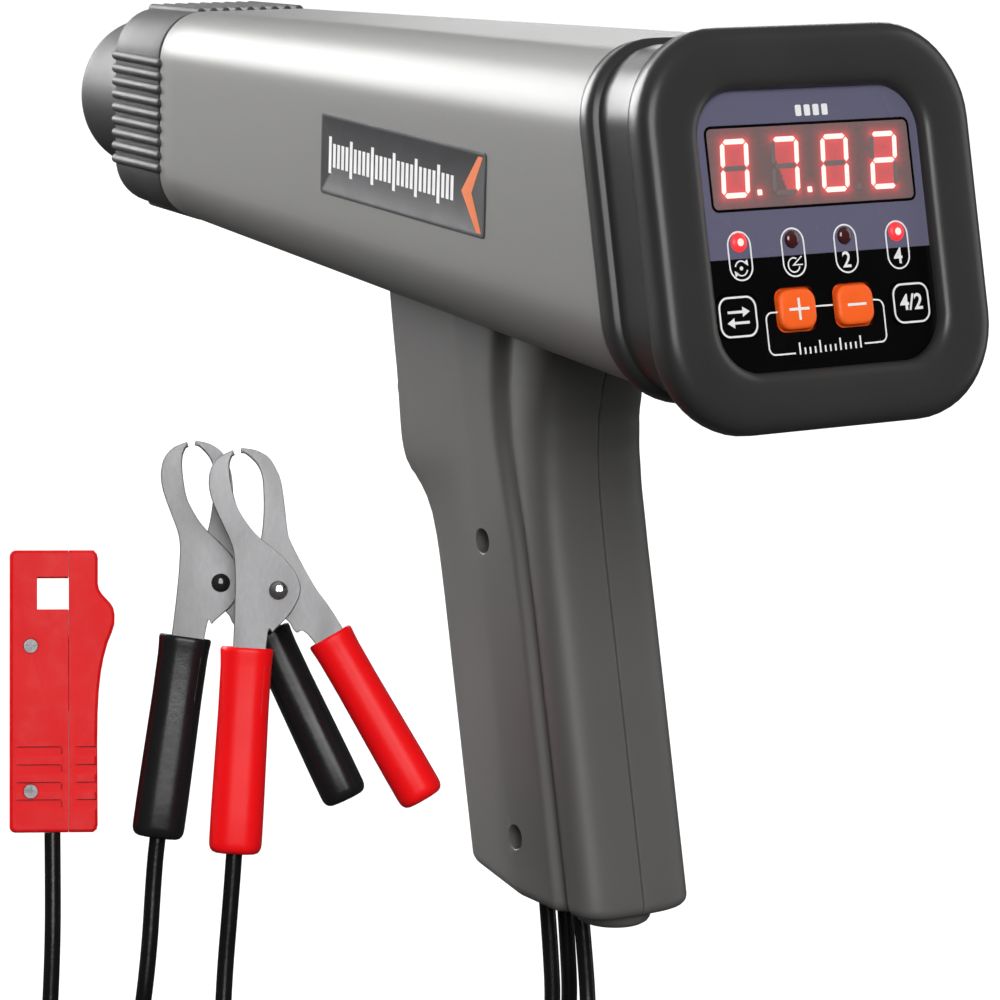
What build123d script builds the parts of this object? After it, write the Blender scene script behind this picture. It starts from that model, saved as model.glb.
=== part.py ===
from build123d import *
import math
import os

os.makedirs("parts", exist_ok=True)

# ------------------------------------------------------------------
# Inductive timing light: pistol-shaped strobe housing, rear display,
# two battery clips and a clamp-on inductive pickup, each on a lead.
# Origin at the middle of the hand grip, on the plane of symmetry.
# +X to the user's right, +Y along the beam, +Z up.  Millimetres.
# ------------------------------------------------------------------

# --- driving dimensions -------------------------------------------
axis_z = 105.0          # height of the barrel axis above the grip middle
rear_y = -105.0         # y of the centre of the rear bezel face
rake = 13.5             # lean of the display face and of the grip, degrees

bezel, bezel_high = 83.6, 82.6     # rubber bezel, outside width and height
bezel_up = 0.35         # its middle lies a little above the barrel axis
bezel_r = 20.6
bezel_t = 8.0
face_open = 57.2        # opening in the bezel that shows the panel
face_open_r = 10.0
panel_depth = 3.07      # how far the panel lies below the bezel face
neck_w, neck_h = 77.0, 74.5
bead_w, bead_h, bead_r = 80.5, 75.4, 18.2
bead_at = 24.1          # middle of the front bead, below the bezel face
bead_off = 5.1
bead_t = 5.4

barrel_end = 235.3      # length of the barrel housing from the bezel centre
rear_w, rear_h, rear_r, rear_c = 81.9, 72.3, 17.5, -0.55
front_w, front_h, front_r, front_c = 51.2, 50.9, 11.7, 0.5
barrel_wall = 2.5

cap_len = 25.45
cap_w, cap_h, cap_r = 50.8, 50.5, 11.5
rib_r = 1.05
rib_n = 9
rib_pitch_side = 3.25
rib_pitch_top = 3.5

hood_r = 19.3
hood_bore = 17.3
hood_len = 29.0         # free length of the hood in front of the cap
hood_spigot_r = 18.6    # part of the hood held in the cap
hood_gap = 1.0          # groove between the cap and the hood

window_w, window_h, window_v = 51.3, 16.4, 12.96
led_pitch, led_v = 13.46, -2.15
key_pitch, key_v = 14.8, -16.32
key_w, key_h = 10.1, 8.7
key_travel = 0.8

grip_half = 16.2        # half width of the grip at its flat sides
grip_back = 92.3        # rear face of the grip, measured along the rake
grip_front = 149.6
housing_front = 160.6
grip_foot = -56.5       # level underside of the grip
grip_wall = 2.4

button_v = -19.2
button_r = 6.0
button_travel = 2.5

lead_d = 3.7
floor_z = -118.0        # level of the coils below the grip
coil_out, coil_in, coil_h = 29.8, 11.2, 7.4

# --- reference planes ---------------------------------------------
s_, c_ = math.sin(math.radians(rake)), math.cos(math.radians(rake))
centre = (0, rear_y, axis_z)
panel = Plane(origin=centre, x_dir=(1, 0, 0), z_dir=(0, -c_, s_))
side = Plane(origin=centre, x_dir=(0, c_, -s_), z_dir=(1, 0, 0))


def station(y):
    """Plane across the barrel, y millimetres ahead of the bezel centre."""
    return Plane(origin=(0, rear_y + y, axis_z), x_dir=(1, 0, 0), z_dir=(0, -1, 0))


def along_grip(v):
    """Plane across the grip at height v along its lean; local y runs forward."""
    return Plane(origin=(0, rear_y + v * s_, axis_z + v * c_), x_dir=(1, 0, 0), z_dir=(0, s_, c_))


def finish(piece, label):
    piece.part.label = label
    export_step(piece.part, f"parts/{label}.step")


# ------------------------------------------------------------------
# Barrel housing: tapered square tube, closed round by the boot behind
# and the ribbed cap in front
# ------------------------------------------------------------------
with BuildPart() as barrel_form:
    with BuildSketch(station(0)):
        with Locations((0, rear_c)):
            RectangleRounded(rear_w, rear_h, rear_r)
    with BuildSketch(station(barrel_end)):
        with Locations((0, front_c)):
            RectangleRounded(front_w, front_h, front_r)
    loft()
    with BuildSketch(panel.offset(-25.0)):
        Rectangle(240, 240)
    extrude(amount=120, mode=Mode.SUBTRACT)

with BuildPart() as spigot_form:
    with BuildSketch(station(-6)):
        with Locations((0, rear_c)):
            RectangleRounded(74, 68, 14)
    extrude(amount=-52)
    with BuildSketch(panel.offset(-9.0)):
        Rectangle(240, 240)
    extrude(amount=120, mode=Mode.SUBTRACT)

plate_pitch = math.degrees(math.atan((rear_w - front_w) / 2 / barrel_end))
plate_y = 109.3
plate_x = -(rear_w / 2 - (rear_w - front_w) / 2 * plate_y / barrel_end)
tan_side = (rear_w - front_w) / 2 / barrel_end
plate_plane = Plane(
    origin=(plate_x, rear_y + plate_y, axis_z + 0.35),
    x_dir=(-tan_side, -1, -0.017),
    z_dir=(-1, tan_side, 0),
)
plate_l, plate_h = 76.6, 18.4

with BuildPart() as barrel_housing:
    add(barrel_form.part)
    add(spigot_form.part)
    with BuildSketch(station(0)):
        with Locations((0, rear_c)):
            RectangleRounded(rear_w - 2 * barrel_wall, rear_h - 2 * barrel_wall, rear_r - barrel_wall)
    with BuildSketch(station(barrel_end)):
        with Locations((0, front_c)):
            RectangleRounded(front_w - 2 * barrel_wall, front_h - 2 * barrel_wall, front_r - barrel_wall)
    loft(mode=Mode.SUBTRACT)
    # the spigot that carries the boot: its wall starts inside the barrel
    with BuildSketch(station(-6)):
        with Locations((0, rear_c)):
            RectangleRounded(74, 68, 14)
            RectangleRounded(68, 62, 11, mode=Mode.SUBTRACT)
    extrude(amount=-52)
    with BuildSketch(panel.offset(-9.0)):
        Rectangle(240, 240)
    extrude(amount=120, mode=Mode.SUBTRACT)
    # seat of the nameplate
    with BuildSketch(plate_plane):
        RectangleRounded(plate_l + 0.4, plate_h + 0.4, 0.6)
    extrude(amount=-0.6, mode=Mode.SUBTRACT)
    # wiring way down into the grip
    with BuildSketch(Plane.XY.offset(axis_z - 60)):
        with Locations((0, rear_y + 118)):
            RectangleRounded(14, 34, 4)
    extrude(amount=40, mode=Mode.SUBTRACT)
finish(barrel_housing, "barrel_housing")

with BuildPart() as nameplate:
    with BuildSketch(plate_plane.offset(-0.6)):
        RectangleRounded(plate_l, plate_h, 0.5)
    extrude(amount=0.85)
    chamfer(nameplate.faces().sort_by(Axis.X)[0].edges(), 0.15)
finish(nameplate, "nameplate")

# ------------------------------------------------------------------
# Rear boot: one rubber moulding, bezel ring, waist and front bead
# ------------------------------------------------------------------
with BuildPart() as rear_boot:
    with BuildSketch(panel.offset(-bezel_t)):
        with Locations((0, bezel_up)):
            RectangleRounded(bezel, bezel_high, bezel_r)
    extrude(amount=bezel_t)
    fillet(rear_boot.edges().group_by(Axis((0, 0, 0), (0, -c_, s_)))[-1], 3.0)
    fillet(rear_boot.edges().group_by(Axis((0, 0, 0), (0, -c_, s_)))[0], 1.6)
    with BuildSketch(panel.offset(-bezel_t + 0.5)):
        with Locations((0, 1.6)):
            RectangleRounded(neck_w, neck_h, 16.5)
    with BuildSketch(panel.offset(-bead_at)):
        with Locations((0, bead_off)):
            RectangleRounded(neck_w, neck_h - 2.0, 16.5)
    loft()
with BuildPart() as bead_form:
    with BuildSketch(panel.offset(-bead_at - bead_t / 2)):
        with Locations((0, bead_off)):
            RectangleRounded(bead_w, bead_h, bead_r)
    extrude(amount=bead_t)
    fillet(bead_form.edges().group_by(Axis((0, 0, 0), (0, -c_, s_)))[-1], 2.0)
    fillet(bead_form.edges().group_by(Axis((0, 0, 0), (0, -c_, s_)))[0], 2.0)
with BuildPart() as boot_final:
    add(rear_boot.part)
    add(bead_form.part)
    # opening that frames the panel
    with BuildSketch(panel.offset(1)):
        RectangleRounded(face_open, face_open, face_open_r)
    extrude(amount=-6, mode=Mode.SUBTRACT)
    # seat of the panel
    with BuildSketch(panel.offset(-panel_depth)):
        RectangleRounded(64.2, 64.2, 12)
    extrude(amount=-8, mode=Mode.SUBTRACT)
    # room for the barrel and its spigot
    add(spigot_form.part, mode=Mode.SUBTRACT)
    add(barrel_form.part, mode=Mode.SUBTRACT)
finish(boot_final, "rear_boot")

# ------------------------------------------------------------------
# Display panel, its window, display, indicators and keys
# ------------------------------------------------------------------
led_us = [-1.5 * led_pitch - 0.09, -0.5 * led_pitch - 0.09, 0.5 * led_pitch - 0.09, 1.5 * led_pitch - 0.09]
key_us = [-1.5 * key_pitch - 0.16, -0.5 * key_pitch - 0.16, 0.5 * key_pitch - 0.16, 1.5 * key_pitch - 0.16]
key_drop = [-0.55, 0.0, 0.0, -0.55]

with BuildPart() as display_panel:
    with BuildSketch(panel.offset(-panel_depth - 1.6)):
        RectangleRounded(63.8, 63.8, 11.8)
        with Locations((0.32, window_v)):
            RectangleRounded(window_w + 0.1, window_h + 0.1, 1.3, mode=Mode.SUBTRACT)
        with Locations(*[(u, led_v) for u in led_us]):
            Circle(1.75, mode=Mode.SUBTRACT)
        with Locations(*[(u, key_v + d) for u, d in zip(key_us, key_drop)]):
            RectangleRounded(key_w + 0.4, key_h + 0.4, 2.2, mode=Mode.SUBTRACT)
    extrude(amount=1.6)
finish(display_panel, "display_panel")

with BuildPart() as display_window:
    with BuildSketch(panel.offset(-panel_depth - 1.6)):
        with Locations((0.32, window_v)):
            RectangleRounded(window_w, window_h, 1.25)
    extrude(amount=1.45)
finish(display_window, "display_window")

with BuildPart() as led_display:
    with BuildSketch(panel.offset(-14.0)):
        with Locations((0.32, 13.15)):
            Rectangle(50.3, 19.0)
    extrude(amount=14.0 - panel_depth - 1.65)
finish(led_display, "led_display")

with BuildPart() as indicator_leds:
    with BuildSketch(panel.offset(-14.0)):
        with Locations(*[(u, led_v) for u in led_us]):
            Circle(1.55)
    extrude(amount=14.0 - panel_depth + 0.2)
    fillet(indicator_leds.edges().group_by(Axis((0, 0, 0), (0, -c_, s_)))[-1], 1.0)
finish(indicator_leds, "indicator_leds")

key_names = ["key_left", "key_plus", "key_minus", "key_right"]
key_tops = [0.25, 1.0, 1.0, 0.25]
for name, u, drop, top in zip(key_names, key_us, key_drop, key_tops):
    with BuildPart() as key:
        with BuildSketch(panel.offset(-panel_depth - 1.95)):
            with Locations((u, key_v + drop)):
                RectangleRounded(key_w, key_h, 2.0)
        extrude(amount=1.95 + top)
        fillet(key.edges().group_by(Axis((0, 0, 0), (0, -c_, s_)))[-1], 0.7 if top > 0.5 else 0.2)
        # retaining skirt behind the panel
        with BuildSketch(panel.offset(-panel_depth - 2.95)):
            with Locations((u, key_v + drop)):
                RectangleRounded(key_w + 1.6, key_h + 1.6, 2.4)
        extrude(amount=1.0)
        # stem to the switch
        with BuildSketch(panel.offset(-9.6)):
            with Locations((u, key_v + drop)):
                Circle(1.5)
        extrude(amount=9.6 - panel_depth - 2.9)
    finish(key, name)

with BuildPart() as tact_switches:
    with BuildSketch(panel.offset(-14.0)):
        with Locations(*[(u, key_v + d) for u, d in zip(key_us, key_drop)]):
            Rectangle(6, 6)
    extrude(amount=3.3)
finish(tact_switches, "tact_switches")

with BuildPart() as display_board:
    with BuildSketch(panel.offset(-15.6)):
        RectangleRounded(59, 53, 7)
    extrude(amount=1.6)
finish(display_board, "display_board")

# ------------------------------------------------------------------
# Inside the barrel: power board on posts, flash capacitor, coil
# ------------------------------------------------------------------
board_z = axis_z - 18
with BuildPart() as power_board:
    with BuildSketch(Plane.XY.offset(board_z - 1.6)):
        with Locations((0, rear_y + 120)):
            Rectangle(46, 90)
    extrude(amount=1.6)
finish(power_board, "power_board")

with BuildPart() as board_posts:
    with BuildSketch(Plane.XY.offset(axis_z - 40)):
        with Locations((-19, rear_y + 80), (19, rear_y + 80), (-19, rear_y + 160), (19, rear_y + 160)):
            Circle(2.5)
    extrude(amount=40 - 18 - 1.6)
    # trimmed to the sloping floor of the barrel
    with BuildSketch(Plane.YZ.offset(-30)):
        with BuildLine():
            Polyline(
                (rear_y + 60, axis_z - 60),
                (rear_y + 180, axis_z - 60),
                (rear_y + 180, axis_z - 36.7 + 180 * 0.0499 + 1.5),
                (rear_y + 60, axis_z - 36.7 + 60 * 0.0499 + 1.5),
                close=True,
            )
        make_face()
    extrude(amount=60, mode=Mode.SUBTRACT)
finish(board_posts, "board_posts")

with BuildPart() as flash_capacitor:
    with BuildSketch(Plane(origin=(0, rear_y + 84, board_z + 11.0), x_dir=(1, 0, 0), z_dir=(0, 1, 0))):
        Circle(11.0)
    extrude(amount=42)
    fillet(flash_capacitor.edges(), 1.0)
finish(flash_capacitor, "flash_capacitor")

with BuildPart() as trigger_coil:
    with BuildSketch(Plane.XY.offset(board_z)):
        with Locations((0, rear_y + 145)):
            RectangleRounded(16, 20, 3)
    extrude(amount=14)
finish(trigger_coil, "trigger_coil")

# ------------------------------------------------------------------
# Front: ribbed cap, lens hood, lens, reflector, lamp and holder
# ------------------------------------------------------------------
cap_front = barrel_end + cap_len
with BuildPart() as front_cap:
    with BuildSketch(station(barrel_end)):
        with Locations((0, front_c)):
            RectangleRounded(cap_w, cap_h, cap_r)
    with BuildSketch(station(cap_front)):
        with Locations((0, front_c)):
            RectangleRounded(cap_w - 1.6, cap_h - 1.6, cap_r)
    loft()
    fillet(front_cap.edges().group_by(Axis.Y)[-1], 1.2)
    # spigot inside the barrel mouth
    with BuildSketch(station(barrel_end - 12)):
        with Locations((0, front_c)):
            RectangleRounded(45.4, 45.1, 8.6)
    extrude(amount=-12.2)
    # ribs on the four flats, proud of the cap, rounded ends
    with BuildSketch(station(barrel_end - 1.2)):
        with Locations((0, front_c)):
            with GridLocations(cap_w + 0.5, rib_pitch_side, 2, rib_n):
                Circle(rib_r)
            with GridLocations(rib_pitch_top, cap_h + 0.5, rib_n, 2):
                Circle(rib_r)
    extrude(amount=-(cap_len + 0.2))
    # mouth of the barrel stays clear of the ribs
    add(barrel_form.part, mode=Mode.SUBTRACT)
    with BuildSketch(station(barrel_end - 12)):
        with Locations((0, front_c)):
            RectangleRounded(45.4, 45.1, 8.6)
    extrude(amount=-12.2)
    # bore for the hood
    with BuildSketch(station(barrel_end - 14)):
        with Locations((0, front_c)):
            Circle(hood_spigot_r)
    extrude(amount=-60, mode=Mode.SUBTRACT)
finish(front_cap, "front_cap")

hood_front = cap_front + hood_len
with BuildPart() as lens_hood:
    # spigot held in the cap, then the wider free hood
    with BuildSketch(station(barrel_end - 5)):
        with Locations((0, front_c)):
            Circle(hood_spigot_r)
            Circle(16.0, mode=Mode.SUBTRACT)
    extrude(amount=-(cap_len + 5 + hood_gap))
    with BuildSketch(station(cap_front + hood_gap)):
        with Locations((0, front_c)):
            Circle(hood_r)
            Circle(16.0, mode=Mode.SUBTRACT)
    extrude(amount=-(hood_len - hood_gap))
    with BuildSketch(station(hood_front - 14)):
        with Locations((0, front_c)):
            Circle(hood_bore)
    extrude(amount=-20, mode=Mode.SUBTRACT)
    fillet(lens_hood.edges().group_by(Axis.Y)[-1], 0.9)
finish(lens_hood, "lens_hood")

with BuildPart() as front_lens:
    with BuildSketch(station(hood_front - 14)):
        with Locations((0, front_c)):
            Circle(17.2)
    extrude(amount=-4.2)
    fillet(front_lens.edges().group_by(Axis.Y)[-1], 2.0)
finish(front_lens, "front_lens")

with BuildPart() as reflector:
    with BuildSketch(Plane(origin=(0, rear_y, axis_z + front_c), x_dir=(1, 0, 0), z_dir=(0, 0, 1))):
        with BuildLine():
            Line((5.2, 239), (5.2, 241))
            ThreePointArc((5.2, 241), (11.2, 251.0), (14.4, 270))
            Line((14.4, 270), (15.9, 270))
            ThreePointArc((15.9, 270), (12.4, 250.4), (6.6, 239))
            Line((6.6, 239), (5.2, 239))
        make_face()
    revolve(axis=Axis((0, rear_y, axis_z + front_c), (0, 1, 0)))
finish(reflector, "reflector")

with BuildPart() as lamp_holder:
    with BuildSketch(station(212)):
        with Locations((0, front_c)):
            Circle(9.0)
    extrude(amount=-14)
    with BuildSketch(station(225)):
        with Locations((0, front_c)):
            Circle(5.1)
    extrude(amount=-16)
finish(lamp_holder, "lamp_holder")

with BuildPart() as flash_lamp:
    with BuildSketch(station(241)):
        with Locations((0, front_c)):
            Circle(3.0)
    extrude(amount=-18)
    fillet(flash_lamp.edges().group_by(Axis.Y)[-1], 2.6)
finish(flash_lamp, "flash_lamp")

# ------------------------------------------------------------------
# Hand grip in two halves, parted on the plane of symmetry
# ------------------------------------------------------------------
def level(p, z):
    """Height along the rake of a point p forward of the bezel face, at level z."""
    return ((z - axis_z) + p * s_) / c_


with BuildPart() as grip_form:
    # plan of the grip below the trigger, swept along the lean
    with BuildSketch(along_grip(-150)):
        with BuildLine():
            Polyline(
                (0, grip_back), (8.2, grip_back), (12.6, 94.2), (15.0, 98.2), (15.5, 101.9), (grip_half, 102.9),
                (grip_half, 119.4), (10.8, 143.9), (7.4, 148.2), (3.0, grip_front), (0, grip_front),
            )
            mirror(about=Plane.YZ)
        make_face()
    extrude(amount=190)
    # deeper housing round the trigger
    with BuildSketch(along_grip(-37)):
        with BuildLine():
            Polyline(
                (0, 78.0), (10.0, 78.0), (14.6, 81.5), (grip_half, 88),
                (grip_half, 119.4), (10.5, 155.6), (7.2, 159.2), (3.0, housing_front), (0, housing_front),
            )
            mirror(about=Plane.YZ)
        make_face()
    extrude(amount=77)
    # side outline of the whole grip
    with BuildSketch(side):
        with BuildLine():
            Polyline(
                (70, 30), (76, -14), (80.5, -19.5), (85.4, -26.5), (89.2, -33), (91.0, -41), (92.0, -50), (92.4, -62),
                (grip_back, -100), (grip_back + 0.6, level(grip_back, grip_foot) + 6), (grip_back + 2.6, level(grip_back + 2.6, grip_foot) + 1.6),
                (grip_back + 7, level(grip_back + 7, grip_foot)),
                (grip_front - 7, level(grip_front - 7, grip_foot)), (grip_front - 2.2, level(grip_front - 2.2, grip_foot) + 1.4),
                (grip_front - 0.2, level(grip_front, grip_foot) + 5.6),
                (grip_front, -60), (grip_front + 0.6, -47), (151.8, -41.5), (155.4, -38.0), (158.6, -36.6), (160.4, -34.2), (161.2, -30.5),
                (159.8, -14), (158, 30),
                close=True,
            )
        make_face()
    extrude(amount=40, both=True, mode=Mode.INTERSECT)
    # fitted under the barrel
    add(barrel_form.part, mode=Mode.SUBTRACT)
    with BuildSketch(station(0)):
        Rectangle(60, 40)
    extrude(amount=-260, mode=Mode.SUBTRACT)

with BuildPart() as grip_hollow:
    with BuildSketch(along_grip(-150)):
        with BuildLine():
            Polyline(
                (0, grip_back + grip_wall), (8.0, grip_back + grip_wall), (11.6, 97.0), (13.2, 102.5), (grip_half - grip_wall, 105),
                (grip_half - grip_wall, 119.2), (8.6, 143.0), (5.6, 146.2), (0, grip_front - grip_wall),
            )
            mirror(about=Plane.YZ)
        make_face()
    extrude(amount=160)
    with BuildSketch(along_grip(-33)):
        with BuildLine():
            Polyline(
                (0, 95.0), (12.0, 95.0), (grip_half - grip_wall, 98),
                (grip_half - grip_wall, 119.2), (8.3, 154.6), (5.2, 157.4), (0, housing_front - grip_wall - 0.4),
            )
            mirror(about=Plane.YZ)
        make_face()
    extrude(amount=26)
    # level floor
    with BuildSketch(Plane.XY.offset(grip_foot + grip_wall)):
        with Locations((0, 0)):
            Rectangle(200, 300)
    extrude(amount=-60, mode=Mode.SUBTRACT)
    # the top stops below the barrel
    with BuildSketch(Plane.XY.offset(axis_z - 39.5)):
        Rectangle(200, 300)
    extrude(amount=80, mode=Mode.SUBTRACT)

screw_pv = [(117.2, -56.8), (117.1, -123.8)]     # (forward, up) of the two grip screws
gland_y = -16.5

grip_halves = [("grip_left", -1), ("grip_right", 1)]
for name, sgn in grip_halves:
    with BuildPart() as half:
        add(grip_form.part)
        add(grip_hollow.part, mode=Mode.SUBTRACT)
        # screw pillars
        with BuildSketch(side.offset(-14.2)):
            with Locations(*screw_pv):
                Circle(4.6)
        extrude(amount=28.4)
        # button hole
        with BuildSketch(Plane(origin=side.from_local_coords((150, button_v, 0)), x_dir=(1, 0, 0), z_dir=(0, c_, -s_))):
            Circle(button_r + 0.08)
        extrude(amount=20, mode=Mode.SUBTRACT)
        # gland opening in the underside
        with BuildSketch(Plane.XY.offset(grip_foot - 2)):
            with Locations((0, gland_y)):
                RectangleRounded(15.0, 18.0, 4.0)
        extrude(amount=8, mode=Mode.SUBTRACT)
        # screw way: deep counterbore from the left, clearance, thread core on the right
        with BuildSketch(side.offset(-17)):
            with Locations(*screw_pv):
                Circle(2.8)
        extrude(amount=9.5, mode=Mode.SUBTRACT)
        with BuildSketch(side.offset(-8)):
            with Locations(*screw_pv):
                Circle(1.6)
        extrude(amount=8, mode=Mode.SUBTRACT)
        with BuildSketch(side.offset(-0.01)):
            with Locations(*screw_pv):
                Circle(1.5)
        extrude(amount=9, mode=Mode.SUBTRACT)
        split(bisect_by=Plane.YZ, keep=Keep.TOP if sgn > 0 else Keep.BOTTOM)
    finish(half, name)

with BuildPart() as grip_screws:
    with BuildSketch(side.offset(-7.5)):
        with Locations(*screw_pv):
            Circle(1.5)
    extrude(amount=16)
    with BuildSketch(side.offset(-9.6)):
        with Locations(*screw_pv):
            Circle(2.6)
    extrude(amount=2.1)
    # cross recess
    with BuildSketch(side.offset(-9.7)):
        with Locations(*screw_pv):
            Rectangle(3.0, 0.7)
            Rectangle(0.7, 3.0)
    extrude(amount=1.1, mode=Mode.SUBTRACT)
finish(grip_screws, "grip_screws")

# low round foot under the grip, behind the gland
with BuildPart() as grip_foot_boss:
    with BuildSketch(Plane.XY.offset(grip_foot)):
        with Locations((0, -36.0)):
            Circle(8.6)
    extrude(amount=-3.6)
    fillet(grip_foot_boss.edges().group_by(Axis.Z)[0], 2.4)
finish(grip_foot_boss, "grip_foot_boss")

# ------------------------------------------------------------------
# Trigger: push button in the front of the grip, spring and switch
# ------------------------------------------------------------------
def fore(p):
    """Plane across the button's axis, p millimetres forward of the bezel face."""
    return Plane(origin=side.from_local_coords((p, button_v, 0)), x_dir=(1, 0, 0), z_dir=(0, c_, -s_))


with BuildPart() as trigger_button:
    with BuildSketch(fore(155.0)):
        Circle(button_r)
    extrude(amount=9.6)
    fillet(trigger_button.edges().group_by(Axis((0, 0, 0), (0, c_, -s_)))[-1], 1.6)
    with BuildSketch(fore(153.2)):
        RectangleRounded(12.6, 17.0, 3.0)
    extrude(amount=1.9)
    with BuildSketch(fore(148.2)):
        Circle(1.6)
    extrude(amount=5.2)
finish(trigger_button, "trigger_button")

with BuildPart() as trigger_spring:
    with BuildSketch(fore(148.0)):
        Circle(3.6)
        Circle(2.4, mode=Mode.SUBTRACT)
    extrude(amount=5.2)
finish(trigger_spring, "trigger_spring")

with BuildPart() as trigger_switch:
    with BuildSketch(fore(131.5)):
        RectangleRounded(13.0, 13.0, 1.0)
    extrude(amount=13.5)
finish(trigger_switch, "trigger_switch")

# ------------------------------------------------------------------
# Battery clips: stamped channels hinged on a rivet like a clothes-peg,
# handles in PVC sleeves; the lead enters the straight handle
# ------------------------------------------------------------------
clip_planes = {
    "red": Plane(origin=(-58.0, 14.56, 11.82), x_dir=(0.86409, -0.50325, 0.0091), z_dir=(-0.49304, -0.84266, 0.21641)),
    "black": Plane(origin=(-60.93, 35.56, 9.75), x_dir=(0.860082, -0.505054, -0.071966), z_dir=(-0.48113, -0.84994, 0.21475)),
}
jaw_a_outer = [
    (-10.2, 31.2), (-13.2, 29.6), (-15.0, 27.2), (-15.5, 24.4), (-15.3, 22.0), (-14.4, 19.0), (-12.5, 14.8), (-10.7, 10.9), (-9.9, 7.6),
    (-9.7, 3.5), (-9.7, -1.0), (-10.1, -12.5), (-12.5, -54.5),
]
jaw_a_inner = [
    (-5.4, -54.5), (-2.7, -12.6), (-1.2, -9.4), (0.7, -7.3), (2.6, -5.2), (4.4, -2.0), (4.9, 0.4), (4.4, 2.6),
    (3.0, 5.0), (0.6, 7.8), (-4.4, 11.9), (-7.0, 14.9), (-9.2, 18.6), (-10.3, 22.4), (-10.9, 25.8), (-10.9, 28.6), (-10.0, 30.9),
]
jaw_b_outer = [
    (-8.3, 31.7), (-5.0, 31.2), (-2.2, 29.6), (-0.3, 26.6), (0.7, 23.6), (1.5, 17.8), (2.0, 13.4), (3.0, 10.2),
    (8.0, 0.9), (14.2, -8.3), (33.6, -42.0),
]
jaw_b_inner = [
    (28.0, -45.2), (8.4, -12.2), (3.9, -9.4), (2.4, -7.2), (0.2, -5.4), (-2.6, -4.3), (-4.6, -2.0), (-5.1, 1.0),
    (-5.1, 5.0), (-4.3, 8.5), (-3.9, 11.5), (-3.5, 14.6), (-3.3, 19.2), (-3.6, 25.0), (-4.7, 28.0), (-6.6, 30.0), (-8.3, 31.1),
]
a_half, b_half, sheet = 5.1, 3.9, 0.9
rivet_r = 1.6
clip_open = 24.0
sleeve_a0, sleeve_a1 = (-7.0, -12.8), (-9.75, -58.75)
sleeve_b0, sleeve_b1 = (11.4, -10.25), (32.5, -46.9)


def shifted(points, dx, dy):
    return [(x + dx, y + dy) for x, y in points]


def across(clip, start, end, n=0.0):
    """Plane across a handle at the local point start, looking along it to end."""
    a = clip.from_local_coords((start[0], start[1], n))
    b = clip.from_local_coords((end[0], end[1], n))
    return Plane(origin=a, x_dir=clip.z_dir, z_dir=b - a)


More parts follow.
